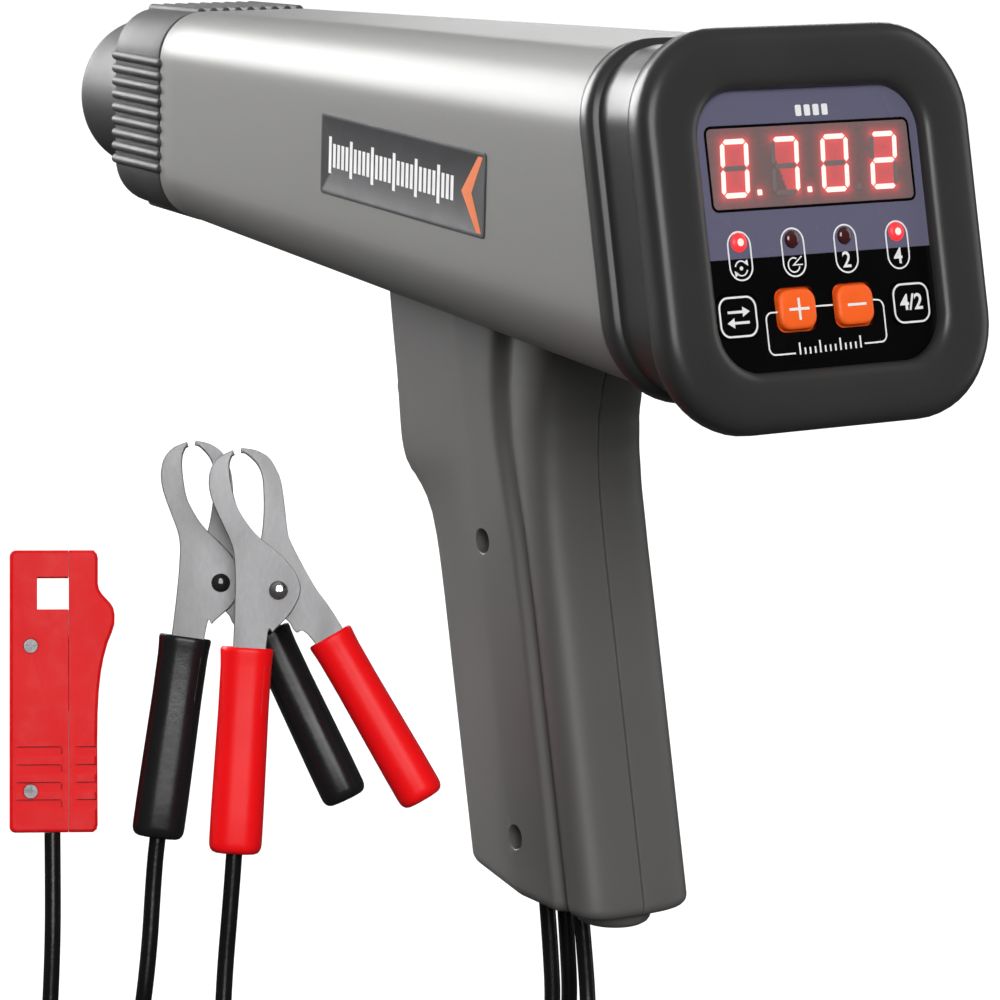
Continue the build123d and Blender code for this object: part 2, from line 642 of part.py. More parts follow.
for colour, clip in clip_planes.items():
    # jaw with the lead: outer channel, spine on its left edge
    with BuildPart() as fixed_jaw:
        with BuildSketch(clip.offset(-a_half)):
            with BuildLine():
                Polyline(*jaw_a_outer, *jaw_a_inner, close=True)
            make_face()
        extrude(amount=2 * a_half)
        with BuildSketch(clip.offset(-a_half + sheet)):
            with BuildLine():
                Polyline(
                    *shifted(jaw_a_outer, sheet, -0.5), (-12.0 + sheet, -60), (30, -60), (30, 40), (-10.2 + sheet, 40), close=True
                )
            make_face()
        extrude(amount=2 * (a_half - sheet), mode=Mode.SUBTRACT)
        with BuildSketch(clip.offset(-a_half - 1)):
            Circle(rivet_r)
        extrude(amount=2 * a_half + 2, mode=Mode.SUBTRACT)
    finish(fixed_jaw, f"{colour}_clip_jaw")

    # moving jaw: inner channel, spine on its right edge
    with BuildPart() as moving_jaw:
        with BuildSketch(clip.offset(-b_half)):
            with BuildLine():
                Polyline(*jaw_b_outer, *jaw_b_inner, close=True)
            make_face()
        extrude(amount=2 * b_half)
        with BuildSketch(clip.offset(-b_half + sheet)):
            with BuildLine():
                Polyline(*shifted(jaw_b_outer, -sheet, -0.4), (33.0, -60), (-30, -60), (-30, 40), (-8.3 - sheet, 40), close=True)
            make_face()
        extrude(amount=2 * (b_half - sheet), mode=Mode.SUBTRACT)
        with BuildSketch(clip.offset(-b_half - 1)):
            Circle(rivet_r + 0.06)
        extrude(amount=2 * b_half + 2, mode=Mode.SUBTRACT)
    finish(moving_jaw, f"{colour}_clip_moving_jaw")

    with BuildPart() as rivet:
        with BuildSketch(clip.offset(-a_half - 0.6)):
            Circle(rivet_r)
        extrude(amount=2 * a_half + 0.6 + 0.2)
        with BuildSketch(clip.offset(a_half)):
            Circle(2.1)
        extrude(amount=1.3)
        fillet(rivet.faces().sort_by(Axis((0, 0, 0), clip.z_dir))[-1].edges(), 1.1)
        with BuildSketch(clip.offset(-a_half)):
            Circle(2.1)
        extrude(amount=-0.9)
    finish(rivet, f"{colour}_clip_rivet")

    # torsion spring round the rivet, legs up behind both spines
    with BuildPart() as spring:
        with BuildSketch(clip.offset(-2.4)):
            Circle(3.1)
            Circle(2.2, mode=Mode.SUBTRACT)
        extrude(amount=4.8)
        with BuildSketch(clip.offset(-2.3)):
            with BuildLine():
                Polyline((-3.0, 0.0), (-2.2, -0.6), (-9.0, 11.2), (-9.7, 10.9), close=True)
            make_face()
        extrude(amount=0.9)
        with BuildSketch(clip.offset(1.4)):
            with BuildLine():
                Polyline((3.0, 0.2), (2.3, -0.4), (0.4, 9.6), (1.1, 9.9), close=True)
            make_face()
        extrude(amount=0.9)
    finish(spring, f"{colour}_clip_spring")

    for tag, start, end, w, d, iw, idp in (
        ("lead", sleeve_a0, sleeve_a1, 11.8, 12.6, 9.0, 10.2),
        ("plain", sleeve_b0, sleeve_b1, 10.4, 10.6, 7.9, 7.8),
    ):
        run = math.dist(start, end)
        with BuildPart() as sleeve:
            with BuildSketch(across(clip, start, end)):
                RectangleRounded(d, w, 5.0)
                RectangleRounded(idp, iw, 3.0, mode=Mode.SUBTRACT)
            extrude(amount=run - 2.2)
            with BuildSketch(across(clip, start, end).offset(run - 2.2)):
                RectangleRounded(d, w, 5.0)
            extrude(amount=2.2)
            fillet(sleeve.edges().group_by(Axis(clip.origin, across(clip, start, end).z_dir))[-1], 0.8)
            if tag == "lead":
                with BuildSketch(across(clip, start, end).offset(run - 3)):
                    Circle(lead_d / 2)
                extrude(amount=4, mode=Mode.SUBTRACT)
        finish(sleeve, f"{colour}_sleeve_{tag}")

# ------------------------------------------------------------------
# Inductive pickup: two shells and a thumb slide that opens its window
# ------------------------------------------------------------------
pick = Plane(origin=(-95.85, 50.38, -14.71), x_dir=(0.88964, -0.45667, -0.00147), z_dir=(-0.44298, -0.86375, 0.24022))
pick_t = 14.0
pick_h = 32.05
seam_x = 3.3
slide_gap = 0.12
slide_travel = 14.0
win_x0, win_x1, win_y0, win_y1 = -3.8, seam_x, 18.6, 26.0
groove_y = [-13.65, -17.7, -21.7, -25.65]
pick_screws = [(-5.2, 10.3), (-5.2, -22.7)]


def box_at(x0, x1, y0, y1):
    """Rectangle between two corners of the working plane."""
    with Locations(((x0 + x1) / 2, (y0 + y1) / 2)):
        return Rectangle(x1 - x0, y1 - y0)


with BuildPart() as core_form:
    with BuildSketch(pick.offset(-10.0)):
        with Locations(((-8.0 + 3.2) / 2, 22.4)):
            Rectangle(11.2, 14.4)
        with Locations(((-5.2 + 3.4) / 2, 22.3)):
            Rectangle(8.6, 10.2, mode=Mode.SUBTRACT)
    extrude(amount=6.0)
finish(core_form, "pickup_core")

for name, back, front in (("pickup_front_shell", -pick_t / 2, 0.0), ("pickup_back_shell", -pick_t, -pick_t / 2)):
    is_front = name == "pickup_front_shell"
    with BuildPart() as shell:
        with BuildSketch(pick.offset(back)):
            with Locations(((-10 + seam_x) / 2, 0)):
                Rectangle(10 + seam_x, 2 * pick_h)
        extrude(amount=front - back)
        fillet(
            shell.edges().filter_by(Axis((0, 0, 0), pick.z_dir)).group_by(Axis((0, 0, 0), pick.x_dir))[0], 1.4
        )
        edge_face = shell.faces().sort_by(Axis((0, 0, 0), pick.z_dir))[-1 if is_front else 0]
        fillet(
            edge_face.edges().filter_by(lambda e: (e @ 0.5 - pick.origin).dot(pick.x_dir) < seam_x - 0.5), 0.9
        )
        # room for the slide's tongue and spring
        with BuildSketch(pick.offset(-9.4)):
            with Locations(((-2.4 + seam_x) / 2, -7.5)):
                Rectangle(2.4 + seam_x + 0.2, 42.0)
        extrude(amount=4.8, mode=Mode.SUBTRACT)
        # window tunnel
        with BuildSketch(pick.offset(-pick_t - 1)):
            with Locations(((win_x0 + win_x1 + 1) / 2, (win_y0 + win_y1) / 2)):
                Rectangle(win_x1 + 1 - win_x0, win_y1 - win_y0)
        extrude(amount=pick_t + 2, mode=Mode.SUBTRACT)
        add(core_form.part, mode=Mode.SUBTRACT)
        # finger grooves on face and flank
        if is_front:
            for y in groove_y:
                with BuildSketch(pick.offset(0.1)):
                    with Locations(((-8.6 + 1.9) / 2, y)):
                        RectangleRounded(10.5, 2.3, 0.7)
                extrude(amount=-0.55, mode=Mode.SUBTRACT)
        with BuildSketch(pick.offset(-pick_t + 2.0)):
            with Locations(*[(-10.2, y) for y in groove_y]):
                Rectangle(1.3, 2.3)
        extrude(amount=pick_t - 4.0, mode=Mode.SUBTRACT)
        # screw ways
        if is_front:
            with BuildSketch(pick.offset(0.1)):
                with Locations(*pick_screws):
                    Circle(1.75)
            extrude(amount=-1.6, mode=Mode.SUBTRACT)
        with BuildSketch(pick.offset(-11.5)):
            with Locations(*pick_screws):
                Circle(0.9)
        extrude(amount=12, mode=Mode.SUBTRACT)
    finish(shell, name)

with BuildPart() as pickup_screws:
    with BuildSketch(pick.offset(-11.4)):
        with Locations(*pick_screws):
            Circle(0.9)
    extrude(amount=10.2)
    with BuildSketch(pick.offset(-1.45)):
        with Locations(*pick_screws):
            Circle(1.55)
    extrude(amount=1.1)
    with BuildSketch(pick.offset(-0.3)):
        with Locations(*pick_screws):
            Rectangle(1.9, 0.45)
            Rectangle(0.45, 1.9)
    extrude(amount=-0.6, mode=Mode.SUBTRACT)
finish(pickup_screws, "pickup_screws")

slide_profile = [
    (seam_x + slide_gap, pick_h), (9.0, pick_h), (9.8, 31.2), (10.0, 30.2), (10.0, 24.4), (10.25, 23.2), (10.9, 22.1), (12.9, 19.9), (13.5, 18.9),
    (13.8, 17.4), (13.75, 15.2), (13.2, 13.4), (12.2, 10.9), (11.3, 7.6), (10.7, 4.4), (10.2, 0.0), (9.95, -5.0), (9.85, -12.0), (9.95, -30.4), (9.7, -31.4),
    (8.9, -pick_h), (seam_x + slide_gap, -pick_h),
]
with BuildPart() as slide_core_form:
    with BuildSketch(pick.offset(-10.0)):
        with Locations((5.6, 22.4)):
            Rectangle(3.4, 14.4)
    extrude(amount=6.0)
finish(slide_core_form, "pickup_slide_core")

with BuildPart() as pickup_slide:
    with BuildSketch(pick.offset(-pick_t)):
        with BuildLine():
            Polyline(*slide_profile, close=True)
        make_face()
    extrude(amount=pick_t)
    for k in (0, -1):
        face = pickup_slide.faces().sort_by(Axis((0, 0, 0), pick.z_dir))[k]
        chamfer(
            face.edges().filter_by(lambda e: (e @ 0.5 - pick.origin).dot(pick.x_dir) > seam_x + 0.6), 0.7
        )
    # tongue that runs inside the shells
    with BuildSketch(pick.offset(-9.2)):
        with Locations(((-2.0 + seam_x + 0.5) / 2, 4.0)):
            Rectangle(2.0 + seam_x + 0.5, 17.0)
    extrude(amount=4.4)
    for y in groove_y:
        with BuildSketch(pick.offset(0.1)):
            with Locations(((4.7 + 10.4) / 2, y)):
                RectangleRounded(5.7, 2.3, 0.7)
        extrude(amount=-0.55, mode=Mode.SUBTRACT)
    with BuildSketch(pick.offset(-pick_t + 2.0)):
        with Locations(*[(10.2, y) for y in groove_y]):
            Rectangle(1.3, 2.3)
    extrude(amount=pick_t - 4.0, mode=Mode.SUBTRACT)
    # fine thumb ribs on the ledge
    with BuildSketch(pick.offset(-pick_t + 1.5)):
        with Locations(*[(10.35, 29.0 - 1.1 * k) for k in range(5)]):
            Circle(0.45)
    extrude(amount=pick_t - 3.0, mode=Mode.SUBTRACT)
    add(slide_core_form.part, mode=Mode.SUBTRACT)
finish(pickup_slide, "pickup_slide")

with BuildPart() as pickup_spring:
    with BuildSketch(Plane(origin=pick.from_local_coords((0.6, -4.5, -7.0)), x_dir=pick.x_dir, z_dir=-pick.y_dir)):
        Circle(1.9)
        Circle(1.2, mode=Mode.SUBTRACT)
    extrude(amount=9.4)
finish(pickup_spring, "pickup_spring")

# ------------------------------------------------------------------
# Gland and leads.  Each lead leaves the gland, drops to the level the
# coils lie on, is wound there and rises to its clip or pickup.
# ------------------------------------------------------------------
lead_exits = {"red": (-2.4, -12.6), "black": (2.3, -12.9), "pickup": (2.0, -19.6)}
with BuildPart() as cable_gland:
    with BuildSketch(Plane.XY.offset(grip_foot - 1.5)):
        with Locations((0, gland_y)):
            RectangleRounded(14.9, 17.9, 3.9)
    extrude(amount=7.0)
    fillet(cable_gland.edges().group_by(Axis.Z)[0], 0.8)
finish(cable_gland, "cable_gland")

gz = grip_foot - 1.5
fz = floor_z + lead_d / 2
lay2 = fz + lead_d
coil_centres = {"red": (-42.0, -1.0), "black": (-40.0, 60.0), "pickup": (-104.0, -34.0)}

routes = {
    "red_lead_grip": [
        (-2.4, -12.6, gz), (-2.5, -15.3, -71.5), (-3.4, -18.4, -86.5), (-7.0, -20.8, -101.5), (-16.4, -23.6, -112.4),
        (-29.2, -26.9, fz), (-42.0, -28.9, fz),
    ],
    "red_lead_clip": [
        (-51.5, -27.2, lay2), (-64.0, -22.6, -112.9), (-74.0, -13.8, -110.5), (-79.3, -4.6, -101.5), (-79.6, 0.9, -88.0),
        (-77.1, 4.2, -72.5), (-74.7, 6.3, -59.2), (-72.5, 8.24, -45.9), (-69.01, 11.76, -24.17),
    ],
    "black_lead_grip": [
        (2.3, -12.9, gz), (2.2, -15.3, -71.5), (2.6, -16.4, -86.0), (4.2, -12.0, -100.5), (5.0, -1.5, -111.0),
        (4.0, 13.0, fz), (1.0, 31.0, fz), (-6.6, 52.0, fz), (-14.5, 71.3, fz),
    ],
    "black_lead_clip": [
        (-62.3, 76.8, lay2), (-71.0, 65.2, -114.0), (-80.0, 55.0, -115.5), (-84.5, 40.5, -111.0), (-87.0, 29.5, -100.5),
        (-86.4, 25.4, -85.5), (-83.4, 27.5, -71.0), (-81.3, 29.9, -58.5), (-79.3, 31.75, -46.95), (-74.43, 34.3, -25.48),
    ],
    "pickup_lead_grip": [
        (2.0, -19.6, gz), (2.0, -22.6, -71.5), (1.2, -26.0, -86.0), (-2.5, -31.5, -100.5), (-12.0, -37.5, -111.5),
        (-26.0, -42.0, fz), (-47.0, -46.5, fz), (-71.5, -53.2, fz), (-95.4, -60.5, fz),
    ],
    "pickup_lead_head": [
        (-128.2, -20.0, lay2), (-121.5, -7.0, -113.2), (-117.0, 7.5, -113.8), (-112.5, 21.5, -110.5), (-107.8, 31.5, -100.0),
        (-104.8, 35.0, -85.0), (-102.6, 37.9, -69.0), (-101.0, 40.9, -57.0), (-99.65, 43.75, -45.8),
    ],
}

for name, pts in routes.items():
    vs = [Vector(*p) for p in pts]
    runs = [(b - a).length for a, b in zip(vs, vs[1:])]
    radii = []
    for k in range(1, len(vs) - 1):
        turn = (vs[k] - vs[k - 1]).get_angle(vs[k + 1] - vs[k])
        radii.append(0.45 * min(runs[k - 1], runs[k]) / math.tan(math.radians(turn / 2)))
    with BuildPart() as lead:
        with BuildLine() as path:
            FilletPolyline(*vs, radius=radii)
        wire = path.wire()
        with BuildSketch(Plane(origin=wire @ 0, z_dir=wire % 0)):
            Circle(lead_d / 2)
        sweep(path=wire)
    expected = math.pi * lead_d**2 / 4 * wire.length
    print(
        f"{name}: length {wire.length:.1f} mm, runs {[round(r, 1) for r in runs]}, radii {[round(r, 1) for r in radii]}, "
        f"smallest {min(radii) / lead_d:.1f} diameters, volume {lead.part.volume:.1f} against {expected:.1f}"
    )
    finish(lead, name)

for name, (cx, cy) in coil_centres.items():
    with BuildPart() as coil:
        with BuildSketch(Plane.XY.offset(floor_z)):
            with Locations((cx, cy)):
                Circle(coil_out)
                Circle(coil_in, mode=Mode.SUBTRACT)
        extrude(amount=coil_h)
        fillet(coil.edges(), 1.7)
    finish(coil, f"{name}_lead_coil")

with BuildPart() as coil_ties:
    mid_r = (coil_out + coil_in) / 2
    for cx, cy in coil_centres.values():
        with BuildSketch(Plane(origin=(cx + mid_r * 0.7071, cy + mid_r * 0.7071, floor_z + coil_h / 2), x_dir=(0.7071, 0.7071, 0), z_dir=(-0.7071, 0.7071, 0))):
            RectangleRounded(coil_out - coil_in + 2.4, coil_h + 1.2, 2.2)
            RectangleRounded(coil_out - coil_in + 0.8, coil_h, 1.6, mode=Mode.SUBTRACT)
        extrude(amount=2.5, both=True)
finish(coil_ties, "coil_ties")
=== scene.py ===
import bpy, bmesh, math
from math import sin, cos, radians, pi, hypot, atan2
from mathutils import Vector, Matrix


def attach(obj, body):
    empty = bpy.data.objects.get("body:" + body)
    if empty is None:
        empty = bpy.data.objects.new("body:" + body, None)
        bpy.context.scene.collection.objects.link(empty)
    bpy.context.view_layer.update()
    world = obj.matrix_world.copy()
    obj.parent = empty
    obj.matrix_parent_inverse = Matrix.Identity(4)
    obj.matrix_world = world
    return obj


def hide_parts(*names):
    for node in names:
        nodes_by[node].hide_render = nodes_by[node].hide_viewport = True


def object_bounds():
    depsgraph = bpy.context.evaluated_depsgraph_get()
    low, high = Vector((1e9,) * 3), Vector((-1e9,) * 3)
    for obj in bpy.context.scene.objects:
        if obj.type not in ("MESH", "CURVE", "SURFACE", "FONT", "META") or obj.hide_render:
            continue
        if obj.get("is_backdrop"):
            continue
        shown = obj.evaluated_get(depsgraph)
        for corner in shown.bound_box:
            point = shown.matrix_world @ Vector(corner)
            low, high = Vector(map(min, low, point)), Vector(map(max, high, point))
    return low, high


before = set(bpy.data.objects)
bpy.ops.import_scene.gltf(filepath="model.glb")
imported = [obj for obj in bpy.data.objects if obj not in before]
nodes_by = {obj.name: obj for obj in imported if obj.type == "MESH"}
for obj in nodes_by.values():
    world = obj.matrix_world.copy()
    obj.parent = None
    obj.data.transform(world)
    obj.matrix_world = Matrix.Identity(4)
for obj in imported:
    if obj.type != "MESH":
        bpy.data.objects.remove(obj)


def as_list(b):
    return [[float(c) for c in p] if hasattr(p, "__len__") else float(p) for p in b]


cad_box = as_list(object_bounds())
scene = bpy.context.scene

# ---------------------------------------------------------------- frames (mm)
MM = 0.001
RAKE = radians(13.5)
S, C = sin(RAKE), cos(RAKE)
CEN = Vector((0, -105, 105))
U, V, N = Vector((1, 0, 0)), Vector((0, S, C)), Vector((0, -C, S))


def on_panel(u, v, n=0.0):
    return CEN + U * u + V * v + N * n


def in_grip(x, p, v):
    return CEN + U * x - N * p + V * v


def at_station(x, y, z):
    return Vector((x, -105 + y, 105 + z))


# ---------------------------------------------------------------- camera
def cam_axes(az, el, roll):
    a, e, r = radians(az), radians(el), radians(roll)
    back = Vector((sin(a) * cos(e), -cos(a) * cos(e), sin(e)))
    fwd = -back
    right = fwd.cross(Vector((0, 0, 1))).normalized()
    up = right.cross(fwd)
    return right * cos(r) + up * sin(r), up * cos(r) - right * sin(r), fwd


R_, U_, F_ = cam_axes(-33.4567, 11.2014, 1.1424)
cam_data = bpy.data.cameras.new("camera")
camera = bpy.data.objects.new("camera", cam_data)
scene.collection.objects.link(camera)
camera.matrix_world = Matrix.Translation(Vector((-0.51335, -0.76367, 0.21169))) @ Matrix((
    (R_.x, U_.x, -F_.x, 0), (R_.y, U_.y, -F_.y, 0), (R_.z, U_.z, -F_.z, 0), (0, 0, 0, 1)))
cam_data.sensor_width = 36
cam_data.lens = 36 * 4120.80 / 1000
cam_data.clip_start, cam_data.clip_end = 0.02, 200
scene.camera = camera
scene.view_settings.view_transform = "Standard"


# ---------------------------------------------------------------- cords
LEAD = 3.7
FZ = -118.0 + LEAD / 2
L2 = FZ + LEAD
TURNS = 12


def coil_turns(cx, cy, a0, a1, sweep=1):
    """Hand-wound coil: five turns inwards on the lower level, then five turns outwards on top of them."""
    pts = []
    n_low = 5 * TURNS
    for k in range(1, n_low):
        f = k / n_low
        r = 27.9 - (27.9 - 13.1) * f
        a = radians(a0) + sweep * 2 * pi * 5 * f
        pts.append((cx + r * cos(a), cy + r * sin(a), FZ))
    mid = radians(a0) + sweep * 2 * pi * 5
    total = (radians(a1) - mid) * sweep
    while total < 2 * pi * 4.6:
        total += 2 * pi
    n_up = int(round(total / (2 * pi) * TURNS))
    for k in range(0, n_up):
        f = k / n_up
        r = 13.1 + (27.9 - 13.1) * f
        a = mid + sweep * total * f
        pts.append((cx + r * cos(a), cy + r * sin(a), L2 if k else L2 - 0.6))
    return pts


LEADS = {
    "red": dict(
        start=[(-2.4, -12.6, -58.0), (-2.5, -15.3, -71.5), (-3.4, -18.4, -86.5), (-7.0, -20.8, -101.5), (-16.4, -23.6, -112.4),
               (-29.2, -26.9, FZ), (-42.0, -28.9, FZ)],
        coil=(-42.0, -1.0),
        end=[(-51.5, -27.2, L2), (-64.0, -22.6, -112.9), (-74.0, -13.8, -110.5), (-79.3, -4.6, -101.5), (-79.6, 0.9, -88.0),
             (-77.1, 4.2, -72.5), (-74.7, 6.3, -59.2), (-72.5, 8.24, -45.9), (-69.01, 11.76, -24.17)], sweep=-1),
    "black": dict(
        start=[(2.3, -12.9, -58.0), (2.2, -15.3, -71.5), (2.6, -16.4, -86.0), (4.2, -12.0, -100.5), (5.0, -1.5, -111.0),
               (4.0, 13.0, FZ), (1.0, 31.0, FZ), (-6.6, 52.0, FZ), (-14.5, 71.3, FZ)],
        coil=(-40.0, 60.0),
        end=[(-62.3, 76.8, L2), (-71.0, 65.2, -114.0), (-80.0, 55.0, -115.5), (-84.5, 40.5, -111.0), (-87.0, 29.5, -100.5),
             (-86.4, 25.4, -85.5), (-83.4, 27.5, -71.0), (-81.3, 29.9, -58.5), (-79.3, 31.75, -46.95), (-74.43, 34.3, -25.48)], sweep=1),
    "pickup": dict(
        start=[(2.0, -19.6, -58.0), (2.0, -22.6, -71.5), (1.2, -26.0, -86.0), (-2.5, -31.5, -100.5), (-12.0, -37.5, -111.5),
               (-26.0, -42.0, FZ), (-47.0, -46.5, FZ), (-71.5, -53.2, FZ), (-95.4, -60.5, FZ)],
        coil=(-104.0, -34.0),
        end=[(-128.2, -20.0, L2), (-121.5, -7.0, -113.2), (-117.0, 7.5, -113.8), (-112.5, 21.5, -110.5), (-107.8, 31.5, -100.0),
             (-104.8, 35.0, -85.0), (-102.6, 37.9, -69.0), (-101.0, 40.9, -57.0), (-99.65, 43.75, -45.8)], sweep=-1),
}


def curve_length(pts):
    return sum((Vector(b) - Vector(a)).length for a, b in zip(pts, pts[1:])) * MM


cords = {}
for name, d in LEADS.items():
    cx, cy = d["coil"]
    a0 = math.degrees(atan2(d["start"][-1][1] - cy, d["start"][-1][0] - cx))
    a1 = math.degrees(atan2(d["end"][0][1] - cy, d["end"][0][0] - cx))
    pts = d["start"] + coil_turns(cx, cy, a0, a1, d["sweep"]) + d["end"]
    cu = bpy.data.curves.new(f"{name}_lead", "CURVE")
    cu.dimensions = "3D"
    sp = cu.splines.new("NURBS")
    sp.points.add(len(pts) - 1)
    for q, p in zip(sp.points, pts):
        q.co = (p[0] * MM, p[1] * MM, p[2] * MM, 1)
    sp.order_u = 3
    sp.use_endpoint_u = True
    sp.resolution_u = 6
    cu.bevel_depth = LEAD / 2 * MM
    cu.bevel_resolution = 5
    cu.use_fill_caps = True
    ob = bpy.data.objects.new(f"{name}_lead", cu)
    scene.collection.objects.link(ob)
    cords[name] = (ob, pts)


# ---------------------------------------------------------------- materials
def new_mat(name):
    m = bpy.data.materials.new(name)
    m.use_nodes = True
    nt = m.node_tree
    return m, nt, nt.nodes, nt.links, nt.nodes["Principled BSDF"]


def noise(nodes, links, vec, scale, detail=3.0, rough=0.55):
    n = nodes.new("ShaderNodeTexNoise")
    n.inputs["Scale"].default_value = scale
    n.inputs["Detail"].default_value = detail
    n.inputs["Roughness"].default_value = rough
    links.new(vec, n.inputs["Vector"])
    return n.outputs["Fac"]


def remap(nodes, links, src, lo, hi, a=0.3, b=0.7):
    r = nodes.new("ShaderNodeMapRange")
    r.inputs["From Min"].default_value = a
    r.inputs["From Max"].default_value = b
    r.inputs["To Min"].default_value = lo
    r.inputs["To Max"].default_value = hi
    links.new(src, r.inputs["Value"])
    return r.outputs["Result"]


def finish_mat(name, color, rough, metal=0.0, spec=0.5, coat=0.0, coat_rough=0.08, mottle=0.06, mottle_scale=45.0, speck=0.03, speck_scale=2600.0,
               rough_var=0.05, grain=0.10, grain_scale=2400.0, grain_depth=0.00012, wear=0.0, wear_color=(0.6, 0.6, 0.6), scratch=0.0,
               color_nodes=None, transmission=0.0, alpha=1.0, ior=1.5, emission=None, emission_strength=0.0, sss=0.0, stretch=(1, 1, 1)):
    """Moulded or painted finish: slow colour drift, fine speckle, uneven gloss, fine grain in relief, brighter worn edges, scratches."""
    m, nt, nodes, links, bsdf = new_mat(name)
    tc = nodes.new("ShaderNodeTexCoord")
    mp = nodes.new("ShaderNodeMapping")
    mp.inputs["Scale"].default_value = stretch
    links.new(tc.outputs["Object"], mp.inputs["Vector"])
    vec = mp.outputs["Vector"]
    slow = remap(nodes, links, noise(nodes, links, vec, mottle_scale, 1.5, 0.4), 1 - mottle, 1 + mottle, 0.15, 0.85)
    fine = remap(nodes, links, noise(nodes, links, vec, speck_scale, 2.0), 1 - speck, 1 + speck)
    mul = nodes.new("ShaderNodeMath"); mul.operation = "MULTIPLY"
    links.new(slow, mul.inputs[0]); links.new(fine, mul.inputs[1])
    scale = nodes.new("ShaderNodeVectorMath"); scale.operation = "SCALE"
    if color_nodes is not None:
        links.new(color_nodes(nodes, links, tc.outputs["Object"]), scale.inputs[0])
    else:
        scale.inputs[0].default_value = color[:3]
    links.new(mul.outputs[0], scale.inputs["Scale"])
    out = scale.outputs["Vector"]
    if wear:
        geo = nodes.new("ShaderNodeNewGeometry")
        pt = remap(nodes, links, geo.outputs["Pointiness"], 0.0, wear, 0.515, 0.58)
        br = remap(nodes, links, noise(nodes, links, vec, 260.0, 4.0), 0.25, 1.0, 0.4, 0.62)
        wm = nodes.new("ShaderNodeMath"); wm.operation = "MULTIPLY"
        links.new(pt, wm.inputs[0]); links.new(br, wm.inputs[1])
        mix = nodes.new("ShaderNodeMix"); mix.data_type = "RGBA"
        links.new(wm.outputs[0], mix.inputs[0]); links.new(out, mix.inputs[6])
        mix.inputs[7].default_value = (*wear_color, 1)
        out = mix.outputs[2]
    links.new(out, bsdf.inputs["Base Color"])
    rv = remap(nodes, links, noise(nodes, links, vec, mottle_scale * 1.7, 2.0, 0.45), max(0.02, rough - rough_var), min(1, rough + rough_var), 0.15, 0.85)
    links.new(rv, bsdf.inputs["Roughness"])
    bsdf.inputs["Metallic"].default_value = metal
    bsdf.inputs["Specular IOR Level"].default_value = spec
    bsdf.inputs["Coat Weight"].default_value = coat
    bsdf.inputs["Coat Roughness"].default_value = coat_rough
    bsdf.inputs["Transmission Weight"].default_value = transmission
    bsdf.inputs["Alpha"].default_value = alpha
    bsdf.inputs["IOR"].default_value = ior
    if sss:
        bsdf.inputs["Subsurface Weight"].default_value = sss
        bsdf.inputs["Subsurface Scale"].default_value = 0.001
    if emission is not None:
        bsdf.inputs["Emission Color"].default_value = (*emission, 1)
        bsdf.inputs["Emission Strength"].default_value = emission_strength
    bump = nodes.new("ShaderNodeBump")
    bump.inputs["Strength"].default_value = grain
    bump.inputs["Distance"].default_value = grain_depth
    h = noise(nodes, links, vec, grain_scale, 3.0, 0.6)
    if scratch:
        sm = nodes.new("ShaderNodeMapping")
        sm.inputs["Scale"].default_value = (60, 6, 60)
        sm.inputs["Rotation"].default_value = (0.3, 0.5, 0.2)
        links.new(tc.outputs["Object"], sm.inputs["Vector"])
        w = noise(nodes, links, sm.outputs["Vector"], 18.0, 2.0)
        sr = remap(nodes, links, w, 0.0, scratch, 0.62, 0.7)
        ad = nodes.new("ShaderNodeMath"); ad.operation = "SUBTRACT"
        links.new(h, ad.inputs[0]); links.new(sr, ad.inputs[1])
        h = ad.outputs[0]
    links.new(h, bump.inputs["Height"])
    links.new(bump.outputs["Normal"], bsdf.inputs["Normal"])
    return m


M = {}
M["barrel"] = finish_mat("mat_barrel", (0.18, 0.178, 0.174), 0.48, metal=0.2, spec=0.3, mottle=0.02, mottle_scale=9, speck=0.05, speck_scale=5200, grain=0.05,
                         grain_scale=5200, grain_depth=0.00006, rough_var=0.025, coat=0.12, coat_rough=0.25, scratch=0.15)
M["cap"] = finish_mat("mat_cap", (0.042, 0.042, 0.042), 0.52, spec=0.28, mottle=0.07, grain=0.16, grain_scale=3200, rough_var=0.07, wear=0.35, wear_color=(0.16, 0.16, 0.16))
M["boot"] = finish_mat("mat_boot", (0.029, 0.0285, 0.028), 0.34, mottle=0.10, mottle_scale=30, grain=0.05, grain_scale=1500, rough_var=0.035, spec=0.3,
                       coat=0.06, coat_rough=0.16)
M["grip"] = finish_mat("mat_grip", (0.100, 0.097, 0.094), 0.5, spec=0.4, mottle=0.035, mottle_scale=26, speck=0.04, speck_scale=4200, grain=0.12, grain_scale=3600,
                       grain_depth=0.00008, rough_var=0.05, wear=0.3, wear_color=(0.19, 0.19, 0.187))
M["trigger"] = finish_mat("mat_trigger", (0.095, 0.093, 0.090), 0.45, mottle=0.05, grain=0.12, grain_scale=3600, rough_var=0.05)
M["pickup"] = finish_mat("mat_pickup", (0.80, 0.006, 0.009), 0.46, spec=0.12, mottle=0.04, mottle_scale=60, speck=0.025, grain=0.12, grain_scale=2600, rough_var=0.06,
                         wear=0.2, wear_color=(0.85, 0.10, 0.10))
# painted shade: dark red for the strip in the pickup's seam
M["pickup_line"] = finish_mat("mat_pickup_line", (0.16, 0.004, 0.005), 0.6, spec=0.1, mottle=0.08, mottle_scale=90, grain=0.1, rough_var=0.06)
# painted shadow: dark red for the shadow strips in the pickup's finger grooves
M["pickup_floor"] = finish_mat("mat_painted_groove_shadow", (0.20, 0.004, 0.006), 0.55, spec=0.15, mottle=0.08, mottle_scale=90, grain=0.12, grain_scale=2600, rough_var=0.06)
M["sleeve_red"] = finish_mat("mat_sleeve_red", (0.98, 0.006, 0.009), 0.36, spec=0.2, mottle=0.05, mottle_scale=70, speck=0.015, grain=0.22, grain_scale=520,
                             grain_depth=0.00010, rough_var=0.05)
